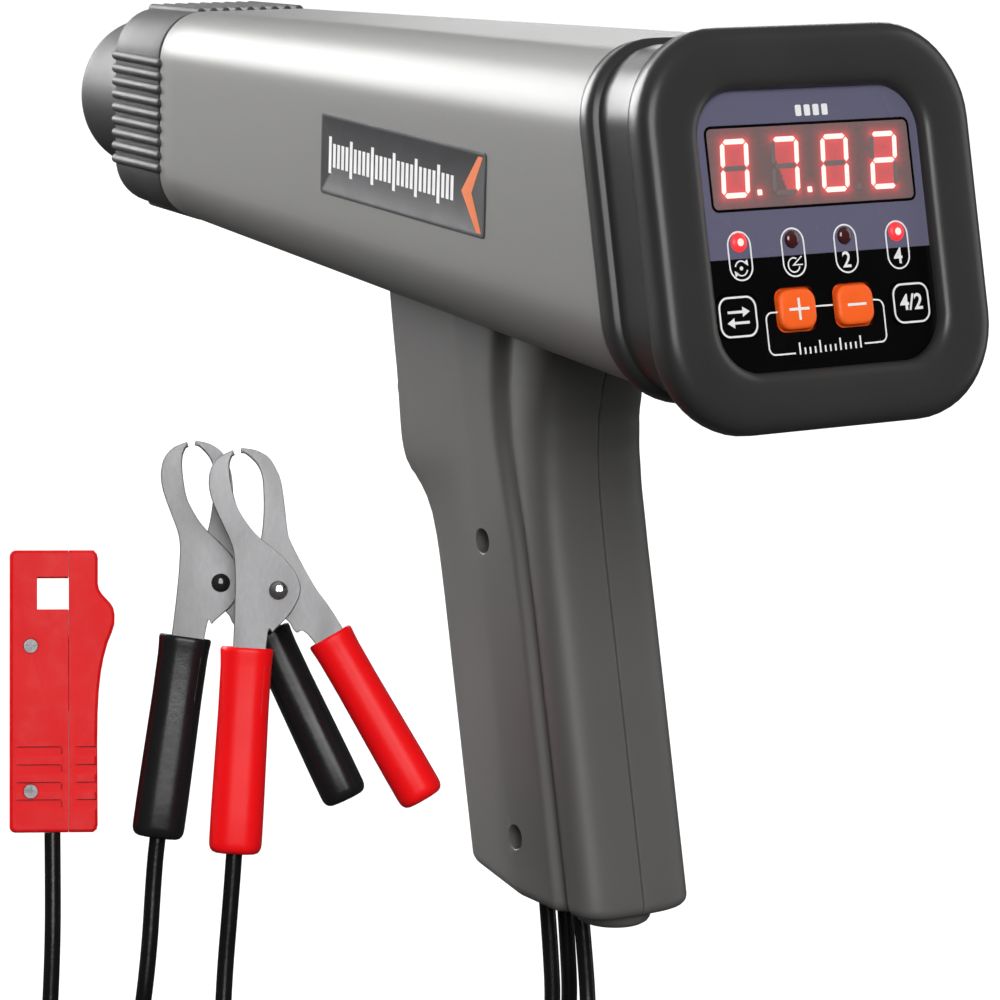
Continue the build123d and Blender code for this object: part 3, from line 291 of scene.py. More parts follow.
M["sleeve_black"] = finish_mat("mat_sleeve_black", (0.011, 0.011, 0.012), 0.27, spec=0.3, mottle=0.12, mottle_scale=70, grain=0.22, grain_scale=520, grain_depth=0.00016,
                               rough_var=0.08)
M["lead"] = finish_mat("mat_lead", (0.006, 0.006, 0.0065), 0.22, spec=0.25, mottle=0.15, mottle_scale=120, grain=0.25, grain_scale=700, grain_depth=0.0002, rough_var=0.07)
M["steel"] = finish_mat("mat_sheet_steel", (0.16, 0.16, 0.163), 0.42, metal=0.75, mottle=0.05, mottle_scale=70, speck=0.05, speck_scale=1500, grain=0.2,
                        grain_scale=900, grain_depth=0.00008, rough_var=0.08, scratch=0.3, stretch=(1, 1, 0.25))
M["steel_edge"] = finish_mat("mat_sheet_edge", (0.50, 0.50, 0.51), 0.25, metal=1.0, mottle=0.12, mottle_scale=160, grain=0.3, grain_scale=1400, rough_var=0.1)
M["spring"] = finish_mat("mat_spring", (0.30, 0.30, 0.31), 0.3, metal=1.0, mottle=0.1, grain=0.2, grain_scale=1500, rough_var=0.08)
M["chrome"] = finish_mat("mat_rivet_chrome", (0.72, 0.72, 0.73), 0.10, metal=1.0, mottle=0.03, grain=0.05, rough_var=0.04)
M["rivet_black"] = finish_mat("mat_rivet_black", (0.05, 0.05, 0.05), 0.13, metal=0.6, mottle=0.1, grain=0.06, rough_var=0.05)
M["screw"] = finish_mat("mat_screw", (0.15, 0.15, 0.155), 0.4, metal=0.6, mottle=0.15, mottle_scale=400, grain=0.25, grain_scale=2500, rough_var=0.1)
M["lens"] = finish_mat("mat_lens", (0.93, 0.95, 0.97), 0.05, mottle=0.01, speck=0.01, grain=0.03, grain_scale=300, rough_var=0.02, transmission=0.95, ior=1.49)
M["mirror"] = finish_mat("mat_reflector", (0.86, 0.86, 0.87), 0.06, metal=1.0, mottle=0.02, grain=0.05, grain_scale=600, rough_var=0.03)
M["part"] = finish_mat("mat_component", (0.04, 0.04, 0.05), 0.4, mottle=0.1, grain=0.2, rough_var=0.08)
M["pcb"] = finish_mat("mat_board", (0.02, 0.12, 0.05), 0.35, mottle=0.2, mottle_scale=300, grain=0.2, grain_scale=1200, rough_var=0.08, coat=0.3)
M["white_print"] = finish_mat("mat_white_print", (0.86, 0.86, 0.86), 0.45, mottle=0.03, mottle_scale=300, speck=0.04, grain=0.1, grain_scale=6000, rough_var=0.06)
M["orange_print"] = finish_mat("mat_orange_print", (0.80, 0.19, 0.045), 0.4, mottle=0.06, mottle_scale=90, speck=0.04, grain=0.1, grain_scale=5000, rough_var=0.06)
M["key_orange"] = finish_mat("mat_key_orange", (1.0, 0.13, 0.012), 0.45, spec=0.3, mottle=0.06, mottle_scale=160, grain=0.14, grain_scale=2600, rough_var=0.07, sss=0.1)
M["key_black"] = finish_mat("mat_key_black", (0.001, 0.001, 0.0012), 0.4, spec=0.06, mottle=0.1, grain=0.1, grain_scale=3000, rough_var=0.06)
M["tie"] = finish_mat("mat_tie", (0.02, 0.02, 0.02), 0.4, mottle=0.1, grain=0.2, rough_var=0.08)
M["dark"] = finish_mat("mat_shadow_gap", (0.006, 0.006, 0.006), 0.7, mottle=0.1, grain=0.1, rough_var=0.05)
M["led_off"] = finish_mat("mat_led_off", (0.055, 0.008, 0.010), 0.15, mottle=0.1, mottle_scale=500, grain=0.05, rough_var=0.04, coat=0.5)
M["ferrite"] = finish_mat("mat_ferrite", (0.05, 0.05, 0.055), 0.6, mottle=0.15, mottle_scale=300, grain=0.4, grain_scale=1800, rough_var=0.1)
M["white_edge"] = finish_mat("mat_moulding_line", (0.5, 0.5, 0.49), 0.4, mottle=0.05, grain=0.1, rough_var=0.05)


def panel_colour(nodes, links, obj_vec):
    """Two-tone print: slate blue above the dividing line, black below it."""
    dot = nodes.new("ShaderNodeVectorMath"); dot.operation = "DOT_PRODUCT"
    dot.inputs[1].default_value = tuple(V)
    links.new(obj_vec, dot.inputs[0])
    edge = V.dot(on_panel(0, -5.3)) * MM
    r = nodes.new("ShaderNodeMapRange")
    r.inputs["From Min"].default_value = edge - 0.00006
    r.inputs["From Max"].default_value = edge + 0.00006
    links.new(dot.outputs["Value"], r.inputs["Value"])
    mix = nodes.new("ShaderNodeMix"); mix.data_type = "RGBA"
    links.new(r.outputs["Result"], mix.inputs[0])
    mix.inputs[6].default_value = (0.0012, 0.0012, 0.0014, 1)
    mix.inputs[7].default_value = (0.125, 0.12, 0.185, 1)
    return mix.outputs[2]


M["panel"] = finish_mat("mat_panel_print", (0.1, 0.1, 0.1), 0.26, mottle=0.03, mottle_scale=60, speck=0.05, speck_scale=5000, grain=0.05, grain_scale=4000,
                        rough_var=0.04, color_nodes=panel_colour, spec=0.12)
M["plate"] = finish_mat("mat_plate", (0.050, 0.050, 0.054), 0.5, spec=0.2, mottle=0.10, mottle_scale=120, speck=0.12, speck_scale=5200, grain=0.12, grain_scale=4200, rough_var=0.07)


def emit_mat(name, color, strength, core=None):
    m, nt, nodes, links, bsdf = new_mat(name)
    tc = nodes.new("ShaderNodeTexCoord")
    f = remap(nodes, links, noise(nodes, links, tc.outputs["Object"], 900.0, 3.0), 0.93, 1.05)
    sc = nodes.new("ShaderNodeVectorMath"); sc.operation = "SCALE"
    sc.inputs[0].default_value = color
    links.new(f, sc.inputs["Scale"])
    links.new(sc.outputs["Vector"], bsdf.inputs["Emission Color"])
    bsdf.inputs["Emission Strength"].default_value = strength
    bsdf.inputs["Base Color"].default_value = (color[0] * 0.5, color[1] * 0.5, color[2] * 0.5, 1)
    bsdf.inputs["Roughness"].default_value = 0.4
    return m


M["seg_lit"] = emit_mat("mat_segment_lit", (1.0, 0.62, 0.56), 1.25)
M["led_lit"] = emit_mat("mat_led_lit", (1.0, 0.03, 0.035), 1.0)
M["led_core"] = emit_mat("mat_led_core", (1.0, 0.55, 0.5), 1.2)
M["seg_off"] = finish_mat("mat_segment_off", (0.19, 0.155, 0.15), 0.4, mottle=0.06, grain=0.05, rough_var=0.05)


def glow_mat(name, base, glow, strength, attr="glow"):
    """Smoked window: dark tinted face with the red glow that spreads from the lit segments held in a colour attribute."""
    m, nt, nodes, links, bsdf = new_mat(name)
    at = nodes.new("ShaderNodeAttribute")
    at.attribute_name = attr
    tc = nodes.new("ShaderNodeTexCoord")
    f = remap(nodes, links, noise(nodes, links, tc.outputs["Object"], 1400.0, 3.0), 0.95, 1.05)
    sc = nodes.new("ShaderNodeVectorMath"); sc.operation = "SCALE"
    sc.inputs[0].default_value = base
    links.new(f, sc.inputs["Scale"])
    links.new(sc.outputs["Vector"], bsdf.inputs["Base Color"])
    gm = nodes.new("ShaderNodeMix"); gm.data_type = "RGBA"
    gm.inputs[6].default_value = (0, 0, 0, 1)
    gm.inputs[7].default_value = (*glow, 1)
    links.new(at.outputs["Fac"], gm.inputs[0])
    links.new(gm.outputs[2], bsdf.inputs["Emission Color"])
    bsdf.inputs["Emission Strength"].default_value = strength
    rv = remap(nodes, links, noise(nodes, links, tc.outputs["Object"], 200.0, 3.0), 0.10, 0.2)
    links.new(rv, bsdf.inputs["Roughness"])
    bsdf.inputs["Specular IOR Level"].default_value = 0.25
    return m


# ---------------------------------------------------------------- mesh helpers
ALL = {}


def make(name, verts, faces, mat, body="housing", slot=None, replaces=(), angle=32, smooth=True, scale=MM):
    me = bpy.data.meshes.new(name)
    me.from_pydata([tuple(Vector(v) * scale) for v in verts], [], faces)
    me.validate()
    bm = bmesh.new(); bm.from_mesh(me)
    bmesh.ops.remove_doubles(bm, verts=bm.verts, dist=1e-7)
    bmesh.ops.recalc_face_normals(bm, faces=bm.faces)
    bm.to_mesh(me); bm.free()
    if smooth:
        me.polygons.foreach_set("use_smooth", [True] * len(me.polygons))
        me.set_sharp_from_angle(angle=radians(angle))
    ob = bpy.data.objects.new(name, me)
    scene.collection.objects.link(ob)
    me.materials.append(mat)
    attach(ob, body)
    if replaces:
        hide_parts(*replaces)
    ALL[name] = ob
    return ob


def join_parts(parts):
    """parts: list of (verts, faces) -> one (verts, faces)."""
    vs, fs = [], []
    for v, f in parts:
        o = len(vs)
        vs += list(v)
        fs += [tuple(i + o for i in q) for q in f]
    return vs, fs


def skin(rings, closed=True, cap0=False, cap1=False):
    n = len(rings[0])
    vs = [p for r in rings for p in r]
    fs = []
    for k in range(len(rings) - 1):
        for i in range(n if closed else n - 1):
            j = (i + 1) % n
            fs.append((k * n + i, k * n + j, (k + 1) * n + j, (k + 1) * n + i))
    if cap0:
        fs.append(tuple(range(n - 1, -1, -1)))
    if cap1:
        fs.append(tuple(range((len(rings) - 1) * n, len(rings) * n)))
    return vs, fs


def rr(w, h, r, k=9, m=5):
    """Rounded rectangle, anticlockwise, k steps per corner and m steps per side."""
    r = max(0.05, min(r, w / 2 - 0.05, h / 2 - 0.05))
    pts = []
    cs = ((w / 2 - r, h / 2 - r, 0), (-(w / 2 - r), h / 2 - r, 90), (-(w / 2 - r), -(h / 2 - r), 180), (w / 2 - r, -(h / 2 - r), 270))
    for q in range(4):
        cx, cy, a0 = cs[q]
        for i in range(k + 1):
            a = radians(a0 + 90 * i / k)
            pts.append((cx + r * cos(a), cy + r * sin(a)))
        nx, ny, na = cs[(q + 1) % 4]
        e = (nx + r * cos(radians(na)), ny + r * sin(radians(na)))
        s0 = pts[-1]
        for i in range(1, m):
            pts.append((s0[0] + (e[0] - s0[0]) * i / m, s0[1] + (e[1] - s0[1]) * i / m))
    return pts


def spline(points, per=6, closed=False):
    """Catmull-Rom through 2-D or 3-D points."""
    P = [Vector(p) for p in points]
    n = len(P)
    out = []
    rng = range(n if closed else n - 1)
    for i in rng:
        p0 = P[(i - 1) % n] if closed or i > 0 else P[0]
        p1, p2 = P[i % n], P[(i + 1) % n]
        p3 = P[(i + 2) % n] if closed or i + 2 < n else P[-1]
        for k in range(per):
            t = k / per
            out.append(0.5 * ((2 * p1) + (p2 - p0) * t + (2 * p0 - 5 * p1 + 4 * p2 - p3) * t * t + (3 * p1 - p0 - 3 * p2 + p3) * t ** 3))
    if not closed:
        out.append(P[-1])
    return out


def interp(x, table):
    if x <= table[0][0]:
        return table[0][1]
    for (a, fa), (b, fb) in zip(table, table[1:]):
        if x <= b:
            t = (x - a) / (b - a)
            t = t * t * (3 - 2 * t) * 0.5 + t * 0.5
            return fa + (fb - fa) * t
    return table[-1][1]


def ribbon(pts, w, closed=False):
    """Flat ribbon along 2-D points, as (verts2d, faces)."""
    n = len(pts)
    L, R = [], []
    for i in range(n):
        a = pts[(i - 1) % n] if closed or i else pts[i]
        b = pts[(i + 1) % n] if closed or i < n - 1 else pts[i]
        p = pts[i]
        d1 = Vector((p[0] - a[0], p[1] - a[1])); d2 = Vector((b[0] - p[0], b[1] - p[1]))
        if d1.length < 1e-9:
            d1 = d2
        if d2.length < 1e-9:
            d2 = d1
        d1.normalize(); d2.normalize()
        t = (d1 + d2)
        t = t.normalized() if t.length > 1e-6 else d1
        nrm = Vector((-t.y, t.x))
        k = 1 / max(0.35, nrm.dot(Vector((-d1.y, d1.x))))
        L.append((p[0] + nrm.x * w / 2 * k, p[1] + nrm.y * w / 2 * k))
        R.append((p[0] - nrm.x * w / 2 * k, p[1] - nrm.y * w / 2 * k))
    vs = L + R
    fs = []
    for i in range(n if closed else n - 1):
        j = (i + 1) % n
        fs.append((i, j, n + j, n + i))
    return vs, fs


def slab(shape, place, n0, n1):
    """Closed flat slab: shape is (verts2d, faces), lifted from n0 to n1 by place(u, v, n)."""
    v2, fs = shape
    n = len(v2)
    vs = [place(p[0], p[1], n1) for p in v2] + [place(p[0], p[1], n0) for p in v2]
    out = [tuple(f) for f in fs] + [tuple(i + n for i in reversed(f)) for f in fs]
    count = {}
    for f in fs:
        for a, b in zip(f, f[1:] + f[:1]):
            key = (min(a, b), max(a, b))
            count.setdefault(key, []).append((a, b))
    for e in count.values():
        if len(e) == 1:
            a, b = e[0]
            out.append((b, a, a + n, b + n))
    return vs, out


def poly(points):
    return list(points), [tuple(range(len(points)))]


def disc(cx, cy, r, n=28):
    return [(cx + r * cos(2 * pi * i / n), cy + r * sin(2 * pi * i / n)) for i in range(n)], [tuple(range(n))]


def revolve(profile, place, n=64):
    """profile: list of (radius, along); place(a_cos, a_sin, along) gives a point. Radius 0 ends are closed."""
    rings = []
    for r, y in profile:
        rings.append([place(r * cos(2 * pi * i / n), r * sin(2 * pi * i / n), y) for i in range(n)])
    return skin(rings, True, profile[0][0] < 1e-6 or False, profile[-1][0] < 1e-6 or False)


# ---------------------------------------------------------------- barrel
REAR = (81.9, 72.3, 17.5, -0.55)
FRONT = (51.2, 50.9, 11.7, 0.5)
END = 235.3


def barrel_ring(t_y, inset=0.0, raked=0.0):
    """Section of the barrel; raked blends the ring from square-on to parallel with the display face."""
    f = t_y / END
    w, h, r, cz = (REAR[i] + (FRONT[i] - REAR[i]) * f for i in range(4))
    ring = []
    for x, z in rr(w - 2 * inset, h - 2 * inset, max(1, r - inset), 14, 10):
        crown = 1.0
        y = t_y + raked * (z + cz) * S / C
        f2 = y / END
        k = (REAR[0] + (FRONT[0] - REAR[0]) * f2) / w
        kz = (REAR[1] + (FRONT[1] - REAR[1]) * f2) / h
        ring.append(at_station(x * k * crown, y, z * kz + cz))
    return ring


rings = []
for t in [0, 0.05, 0.12, 0.2, 0.3, 0.4, 0.5, 0.6, 0.7, 0.8, 0.9, 0.96, 1.0]:
    y = 24.6 + (END - 0.7 - 24.6) * t
    rings.append(barrel_ring(y, 0, 1 - min(1, t / 0.9)))
rings.append(barrel_ring(END - 0.25, 0.15))
rings.append(barrel_ring(END, 0.55))
rings.append(barrel_ring(END, 2.4))
rings.append(barrel_ring(END - 3, 2.5))
barrel = make("barrel", *skin(rings, True, False, False), M["barrel"], slot="silver_paint", replaces=["barrel_housing"], angle=40)

# ---------------------------------------------------------------- rear boot
def boot_ring(hw, hh, r, v, n):
    return [on_panel(x, y + v, n) for x, y in rr(2 * hw, 2 * hh, r, 12, 6)]


prof = [  # half width, half height, corner radius, v offset, depth
    (28.62, 28.62, 10.0, 0, -4.9), (28.6, 28.6, 10.0, 0, -2.4), (28.72, 28.72, 10.1, 0, -1.7), (29.1, 29.1, 10.5, 0, -1.05), (29.8, 29.8, 11.0, 0, -0.52),
    (31.0, 31.0, 11.9, 0, -0.18), (33.0, 33.0, 13.4, 0.1, -0.02), (35.4, 35.2, 15.3, 0.2, 0.0), (37.6, 37.2, 17.2, 0.3, -0.08), (39.0, 38.5, 18.3, 0.35, -0.28),
    (40.1, 39.6, 19.3, 0.35, -0.68), (40.95, 40.45, 20.0, 0.35, -1.35), (41.55, 41.05, 20.4, 0.35, -2.3), (41.78, 41.28, 20.6, 0.35, -3.4), (41.8, 41.3, 20.6, 0.35, -4.6),
    (41.72, 41.22, 20.5, 0.35, -6.1), (41.45, 40.95, 20.3, 0.35, -7.1), (40.9, 40.4, 19.8, 0.35, -7.8), (40.1, 39.6, 19.0, 0.4, -8.0), (39.0, 38.3, 17.5, 1.2, -8.0),
    (38.6, 37.5, 16.8, 1.6, -8.35), (38.45, 37.2, 16.5, 2.0, -10.2), (38.3, 36.9, 16.5, 3.0, -14.0), (38.3, 36.6, 16.5, 4.0, -18.0), (38.3, 36.4, 16.5, 4.6, -20.9),
    (38.6, 36.5, 16.7, 4.75, -21.2), (39.5, 37.1, 17.6, 5.1, -21.45), (40.05, 37.5, 18.0, 5.1, -22.2), (40.25, 37.7, 18.2, 5.1, -23.4), (40.25, 37.7, 18.2, 5.1, -24.9),
    (40.0, 37.45, 18.0, 5.1, -25.9), (39.4, 36.9, 17.5, 5.1, -26.55), (38.3, 35.9, 16.6, 5.1, -26.8), (36.6, 34.2, 15.2, 5.1, -26.8),
]
boot = make("rear_boot_moulding", *skin([boot_ring(*p) for p in prof], True), M["boot"], slot="boot_rubber", replaces=["rear_boot"], angle=50)

# ---------------------------------------------------------------- front cap and its ribs
CZ = 0.5
cap_y1 = END + 25.45


def cap_ring(w, h, r, y):
    return [at_station(x, y, z + CZ) for x, z in rr(w, h, r, 10, 6)]


rings = [cap_ring(47.0, 46.7, 9.6, END - 2.0), cap_ring(47.0, 46.7, 9.6, END + 0.25), cap_ring(49.6, 49.3, 10.9, END + 0.3), cap_ring(50.5, 50.2, 11.4, END + 0.55),
         cap_ring(50.8, 50.5, 11.5, END + 1.2), cap_ring(50.4, 50.1, 11.5, END + 8), cap_ring(49.8, 49.5, 11.5, END + 17),
         cap_ring(49.3, 49.0, 11.5, cap_y1 - 1.5), cap_ring(49.0, 48.7, 11.35, cap_y1 - 0.7), cap_ring(48.3, 48.0, 11.0, cap_y1 - 0.2),
         cap_ring(47.2, 46.9, 10.4, cap_y1), cap_ring(42.6, 42.4, 14.0, cap_y1)]
last = rings[-1]
n = len(last)
ctr = at_station(0, cap_y1, CZ)
hood_edge = []
for p in last:
    d = (p - ctr).normalized()
    hood_edge.append(ctr + d * 19.2)
rings.append(hood_edge)
rings.append([ctr + (p - ctr).normalized() * 18.85 + Vector((0, -0.35, 0)) for p in last])
rings.append([ctr + (p - ctr).normalized() * 18.65 + Vector((0, -1.2, 0)) for p in last])
cap_parts = [skin(rings, True)]


def rib(cx, cz, y0, y1, r, face):
    """Round rib lying along the barrel, with ball ends; face is the outward direction of the flat it sits on."""
    prof_ = []
    for k in range(7):
        a = radians(90 * k / 6)
        prof_.append((r * sin(a), y0 + r - r * cos(a)))
    for k in range(7):
        a = radians(90 - 90 * k / 6)
        prof_.append((r * sin(a), y1 - r + r * cos(a)))
    rings_ = []
    for rad, y in prof_:
        taper = (y - END) / 25.45 * 0.8
        ox, oz = -face[0] * taper, -face[1] * taper
        rings_.append([at_station(cx + ox + rad * cos(2 * pi * i / 14), y, CZ + cz + oz + rad * sin(2 * pi * i / 14)) for i in range(14)])
    return skin(rings_, True, False, False)


RIB = 1.2
for k in range(9):
    o = (k - 4)
    for sgn in (-1, 1):
        cap_parts.append(rib(sgn * (25.4 - 0.15), o * 3.25, END - 1.2, cap_y1 + 0.2, RIB, (sgn, 0)))
        cap_parts.append(rib(o * 3.5, sgn * (25.25 - 0.15), END - 1.2, cap_y1 + 0.2, RIB, (0, sgn)))
cap = make("ribbed_cap", *join_parts(cap_parts), M["cap"], slot="cap_plastic", replaces=["front_cap"], angle=50)

# ---------------------------------------------------------------- lens hood (turned form)
HF = cap_y1 + 29.0
hp = [(18.6, END + 10), (18.6, cap_y1 + 1.0), (19.05, cap_y1 + 1.02), (19.3, cap_y1 + 1.3), (19.3, cap_y1 + 6), (19.3, HF - 3.0), (19.26, HF - 1.6), (19.05, HF - 0.7), (18.65, HF - 0.18), (18.2, HF), (17.75, HF - 0.12),
      (17.42, HF - 0.5), (17.3, HF - 1.1), (17.3, HF - 8), (17.3, HF - 13.9), (16.0, HF - 14.1), (16.0, END + 10)]
hood = make("hood", *revolve(hp, lambda a, b, y: at_station(a, y, CZ + b), 96), M["cap"], slot="cap_plastic", replaces=["lens_hood"], angle=40)
# domed lens with concentric steps
lp = [(17.1, HF - 13.8), (17.15, HF - 11.0), (16.6, HF - 10.4), (15.2, HF - 10.15), (13.0, HF - 9.95), (10.5, HF - 9.85), (7.0, HF - 9.82), (3.5, HF - 9.8), (0.0, HF - 9.8)]
lens = make("lens_disc", *revolve(lp, lambda a, b, y: at_station(a, y, CZ + b), 72), M["lens"], slot="lens_clear", replaces=["front_lens"], angle=40)

# ---------------------------------------------------------------- grip halves
P_BACK = [(-170, 92.3), (-100, 92.3), (-62, 92.4), (-50, 92.0), (-41, 91.0), (-33, 89.2), (-26.5, 86.4), (-19.5, 82.5), (-14, 79.0), (-6, 76.0), (30, 74.0)]
P_FRONT = [(-170, 149.4), (-70, 149.5), (-60, 149.7), (-54, 150.1), (-49, 151.0), (-45.2, 152.5), (-42.3, 154.4), (-40.0, 156.4), (-38.2, 158.2), (-36.0, 159.7),
           (-33.5, 160.5), (-30.5, 160.8), (-14, 159.6), (30, 158.0)]
P_GROOVE = [(-170, 102.4), (-75, 102.5), (-58, 102.9), (-45, 103.8), (-35, 104.2), (-25, 103.2), (-17, 101.0), (-10, 98.6), (30, 96.0)]


def section(v):
    """Half section of the grip at height v, from the rear seam forward: (half width, p)."""
    pb, pf, pg = interp(v, P_BACK), interp(v, P_FRONT), interp(v, P_GROOVE)
    back = [(0.12, 3.0), (0.12, 0.34), (0.30, 0.07), (0.75, 0.0), (2.4, 0.02), (4.4, 0.06), (6.4, 0.14), (8.2, 0.28), (9.8, 0.52), (11.1, 0.88), (12.2, 1.4),
            (13.1, 2.05), (13.8, 2.85), (14.3, 3.75), (14.62, 4.7), (14.80, 5.6), (14.86, 6.5), (14.80, 7.3), (14.62, 8.0), (14.30, 8.6), (14.02, 9.05), (13.96, 9.5),
            (14.12, 9.95), (14.65, 10.5), (15.35, 11.0), (15.85, 11.45), (16.12, 11.95), (16.2, 12.6)]
    span = pg - pb
    out = []
    for k, (x, q) in enumerate(back):
        out.append((x, pb + (q if k < 4 else q * span / 9.6)))
    p0 = out[-1][1]
    for k in range(1, 7):
        out.append((16.2, p0 + (118.0 - p0) * k / 6))
    out += [(16.12, 119.2), (15.92, 120.4)]
    xe, pe = 10.75, pf - 5.6
    for k in range(1, 9):
        f = k / 8
        out.append((15.92 + (xe - 15.92) * f, 120.4 + (pe - 120.4) * f))
    out += [(10.2, pf - 4.3), (9.4, pf - 3.1), (8.3, pf - 2.05), (7.0, pf - 1.2), (5.6, pf - 0.62), (4.0, pf - 0.25), (2.4, pf - 0.06), (0.55, pf), (0.22, pf - 0.06),
            (0.10, pf - 0.3), (0.10, pf - 3.0)]
    return out


def v_at_level(p, z):
    return ((z - 105) + p * S) / C


FOOT = -56.5
vs_list = [8, -2, -8, -11, -14, -17, -20, -23, -26, -28.5, -31, -33, -34.5, -36, -37.3, -38.5, -39.7, -41, -42.3, -43.7, -45.2, -47, -49, -51.5, -54.5, -58, -62, -68,
           -76, -86, -96, -106, -114, -121]
grip_objs = {}
for sgn, label, node in ((-1, "left", "grip_left"), (1, "right", "grip_right")):
    rings = []
    for v in vs_list:
        rings.append([in_grip(sgn * x, p, v) for x, p in section(v)])
    base = section(-140)
    steps = 5
    v_end = [v_at_level(p, FOOT + 3.0) for x, p in base]
    start = section(vs_list[-1])
    for k in range(1, steps + 1):
        f = k / steps
        rings.append([in_grip(sgn * (xs + (x - xs) * f), ps + (p - ps) * f, vs_list[-1] + (ve - vs_list[-1]) * f)
                      for (x, p), ve, (xs, ps) in zip(base, v_end, start)])
    for k in range(1, 9):
        a = radians(90 * k / 8)
        ins = 3.0 * (1 - cos(a))
        z = FOOT + 3.0 * (1 - sin(a))
        row = []
        for x, p in base:
            xx = x if x < 0.2 else max(0.2, x - ins * min(1.0, x / 9.0))
            mid = 120.9
            half = 28.6
            pp = mid + (p - mid) * (half - ins) / half
            row.append(in_grip(sgn * xx, pp, v_at_level(pp, z)))
        rings.append(row)
    grip_objs[label] = make(f"grip_half_{label}", *skin(rings, True, True, True), M["grip"], slot="grip_grey", replaces=[node], angle=38)


def cutter(name, parts):
    me = bpy.data.meshes.new(name)
    vs, fs = join_parts(parts)
    me.from_pydata([tuple(Vector(v) * MM) for v in vs], [], fs)
    bm = bmesh.new(); bm.from_mesh(me)
    bmesh.ops.recalc_face_normals(bm, faces=bm.faces)
    bm.to_mesh(me); bm.free()
    ob = bpy.data.objects.new(name, me)
    scene.collection.objects.link(ob)
    return ob


def cut(target, cut_ob):
    mod = target.modifiers.new("cut", "BOOLEAN")
    mod.operation = "DIFFERENCE"
    mod.solver = "EXACT"
    mod.object = cut_ob
    dg = bpy.context.evaluated_depsgraph_get()
    me = bpy.data.meshes.new_from_object(target.evaluated_get(dg))
    target.modifiers.clear()
    old = target.data
    target.data = me
    me.materials.clear()
    me.materials.append(old.materials[0])
    me.polygons.foreach_set("material_index", [0] * len(me.polygons))


SCREWS = [(117.2, -56.8), (117.1, -123.8)]
parts = []
for p0, v0 in SCREWS:
    prof_ = [(0.0, -8.0), (2.75, -8.0), (2.75, -15.9), (3.0, -16.15), (3.0, -17.5), (0.0, -17.5)]
    parts.append(revolve(prof_, lambda a, b, x, p0=p0, v0=v0: in_grip(x, p0 + a, v0 + b), 32))
c1 = cutter("cut_screw_ways", parts)
cut(grip_objs["left"], c1)
parts = [revolve([(0.0, 140), (6.15, 140), (6.15, 158.9), (6.6, 164), (6.6, 170), (0.0, 170)], lambda a, b, p: in_grip(a, p, -19.2 + b), 48)]
c2 = cutter("cut_button_way", parts)
cut(grip_objs["left"], c2); cut(grip_objs["right"], c2)
for o in (c1, c2):
    bpy.data.objects.remove(o)
for g in grip_objs.values():
    g.data.polygons.foreach_set("use_smooth", [True] * len(g.data.polygons))
    g.data.set_sharp_from_angle(angle=radians(38))

# foot boss under the grip
fb = [(8.6, 0.6), (8.6, -1.4), (8.45, -2.2), (8.0, -2.9), (7.2, -3.4), (6.2, -3.6), (2.6, -3.6), (2.3, -3.35), (2.1, -2.9), (0.0, -2.8)]
make("foot_boss", *revolve(fb, lambda a, b, z: Vector((a, -36 + b, FOOT + z)), 56), M["grip"], slot="grip_grey", replaces=["grip_foot_boss"], angle=50)

# trigger button: crowned face with a shallow dish
tb = [(6.0, 153.5), (6.0, 161.6), (5.9, 162.6), (5.6, 163.4), (5.0, 164.1), (4.2, 164.5), (3.2, 164.55), (2.0, 164.35), (0.9, 164.2), (0.0, 164.15)]
make("trigger_cap", *revolve(tb, lambda a, b, p: in_grip(a, p, -19.2 + b), 56), M["trigger"], body="trigger", slot="trigger_grey", replaces=["trigger_button"], angle=50)

# gland: flush grommet with a round collar for each lead
gl = []
gl.append(skin([[Vector((x, y - 16.5, z)) for x, y in rr(14.9 - 2 * i, 17.9 - 2 * i, 3.9, 6, 2)]
                for i, z in ((0, -54.0), (0, -57.3), (0.25, -57.8), (0.8, -58.0), (4.0, -58.0))], True, True, True))
for ex, ey in ((-2.4, -12.6), (2.3, -12.9), (2.0, -19.6)):
    gl.append(revolve([(2.9, -56.5), (2.9, -57.9), (2.75, -58.35), (2.4, -58.6), (1.8, -58.6)], lambda a, b, z, ex=ex, ey=ey: Vector((ex + a, ey + b, z)), 24))
make("gland", *join_parts(gl), M["sleeve_black"], slot="sleeve_black", replaces=["cable_gland"], angle=45)


# ---------------------------------------------------------------- display panel print
PD = -3.07
flat = lambda u, v, n: on_panel(u, v, PD + n)
LED_U = [-20.28, -6.82, 6.64, 20.10]
KEY_U = [-22.36, -7.56, 7.24, 22.04]
KEY_V = [-16.87, -16.32, -16.32, -16.87]
H0, H1 = 0.0, 0.06


def arc(cx, cy, r, a0, a1, n=20):
    return [(cx + r * cos(radians(a0 + (a1 - a0) * i / n)), cy + r * sin(radians(a0 + (a1 - a0) * i / n))) for i in range(n + 1)]


def rr_at(cx, cy, w, h, r, k=6):
    return [(cx + x, cy + y) for x, y in rr(w, h, r, k, 1)]


prints = []
W = 0.34
for k, u in enumerate(LED_U):   # capsule round each indicator and its sign
    prints.append(slab(ribbon(rr_at(u + 0.12, -4.72, 5.6, 9.8, 2.75, 9), W, True), flat, H0, H1))
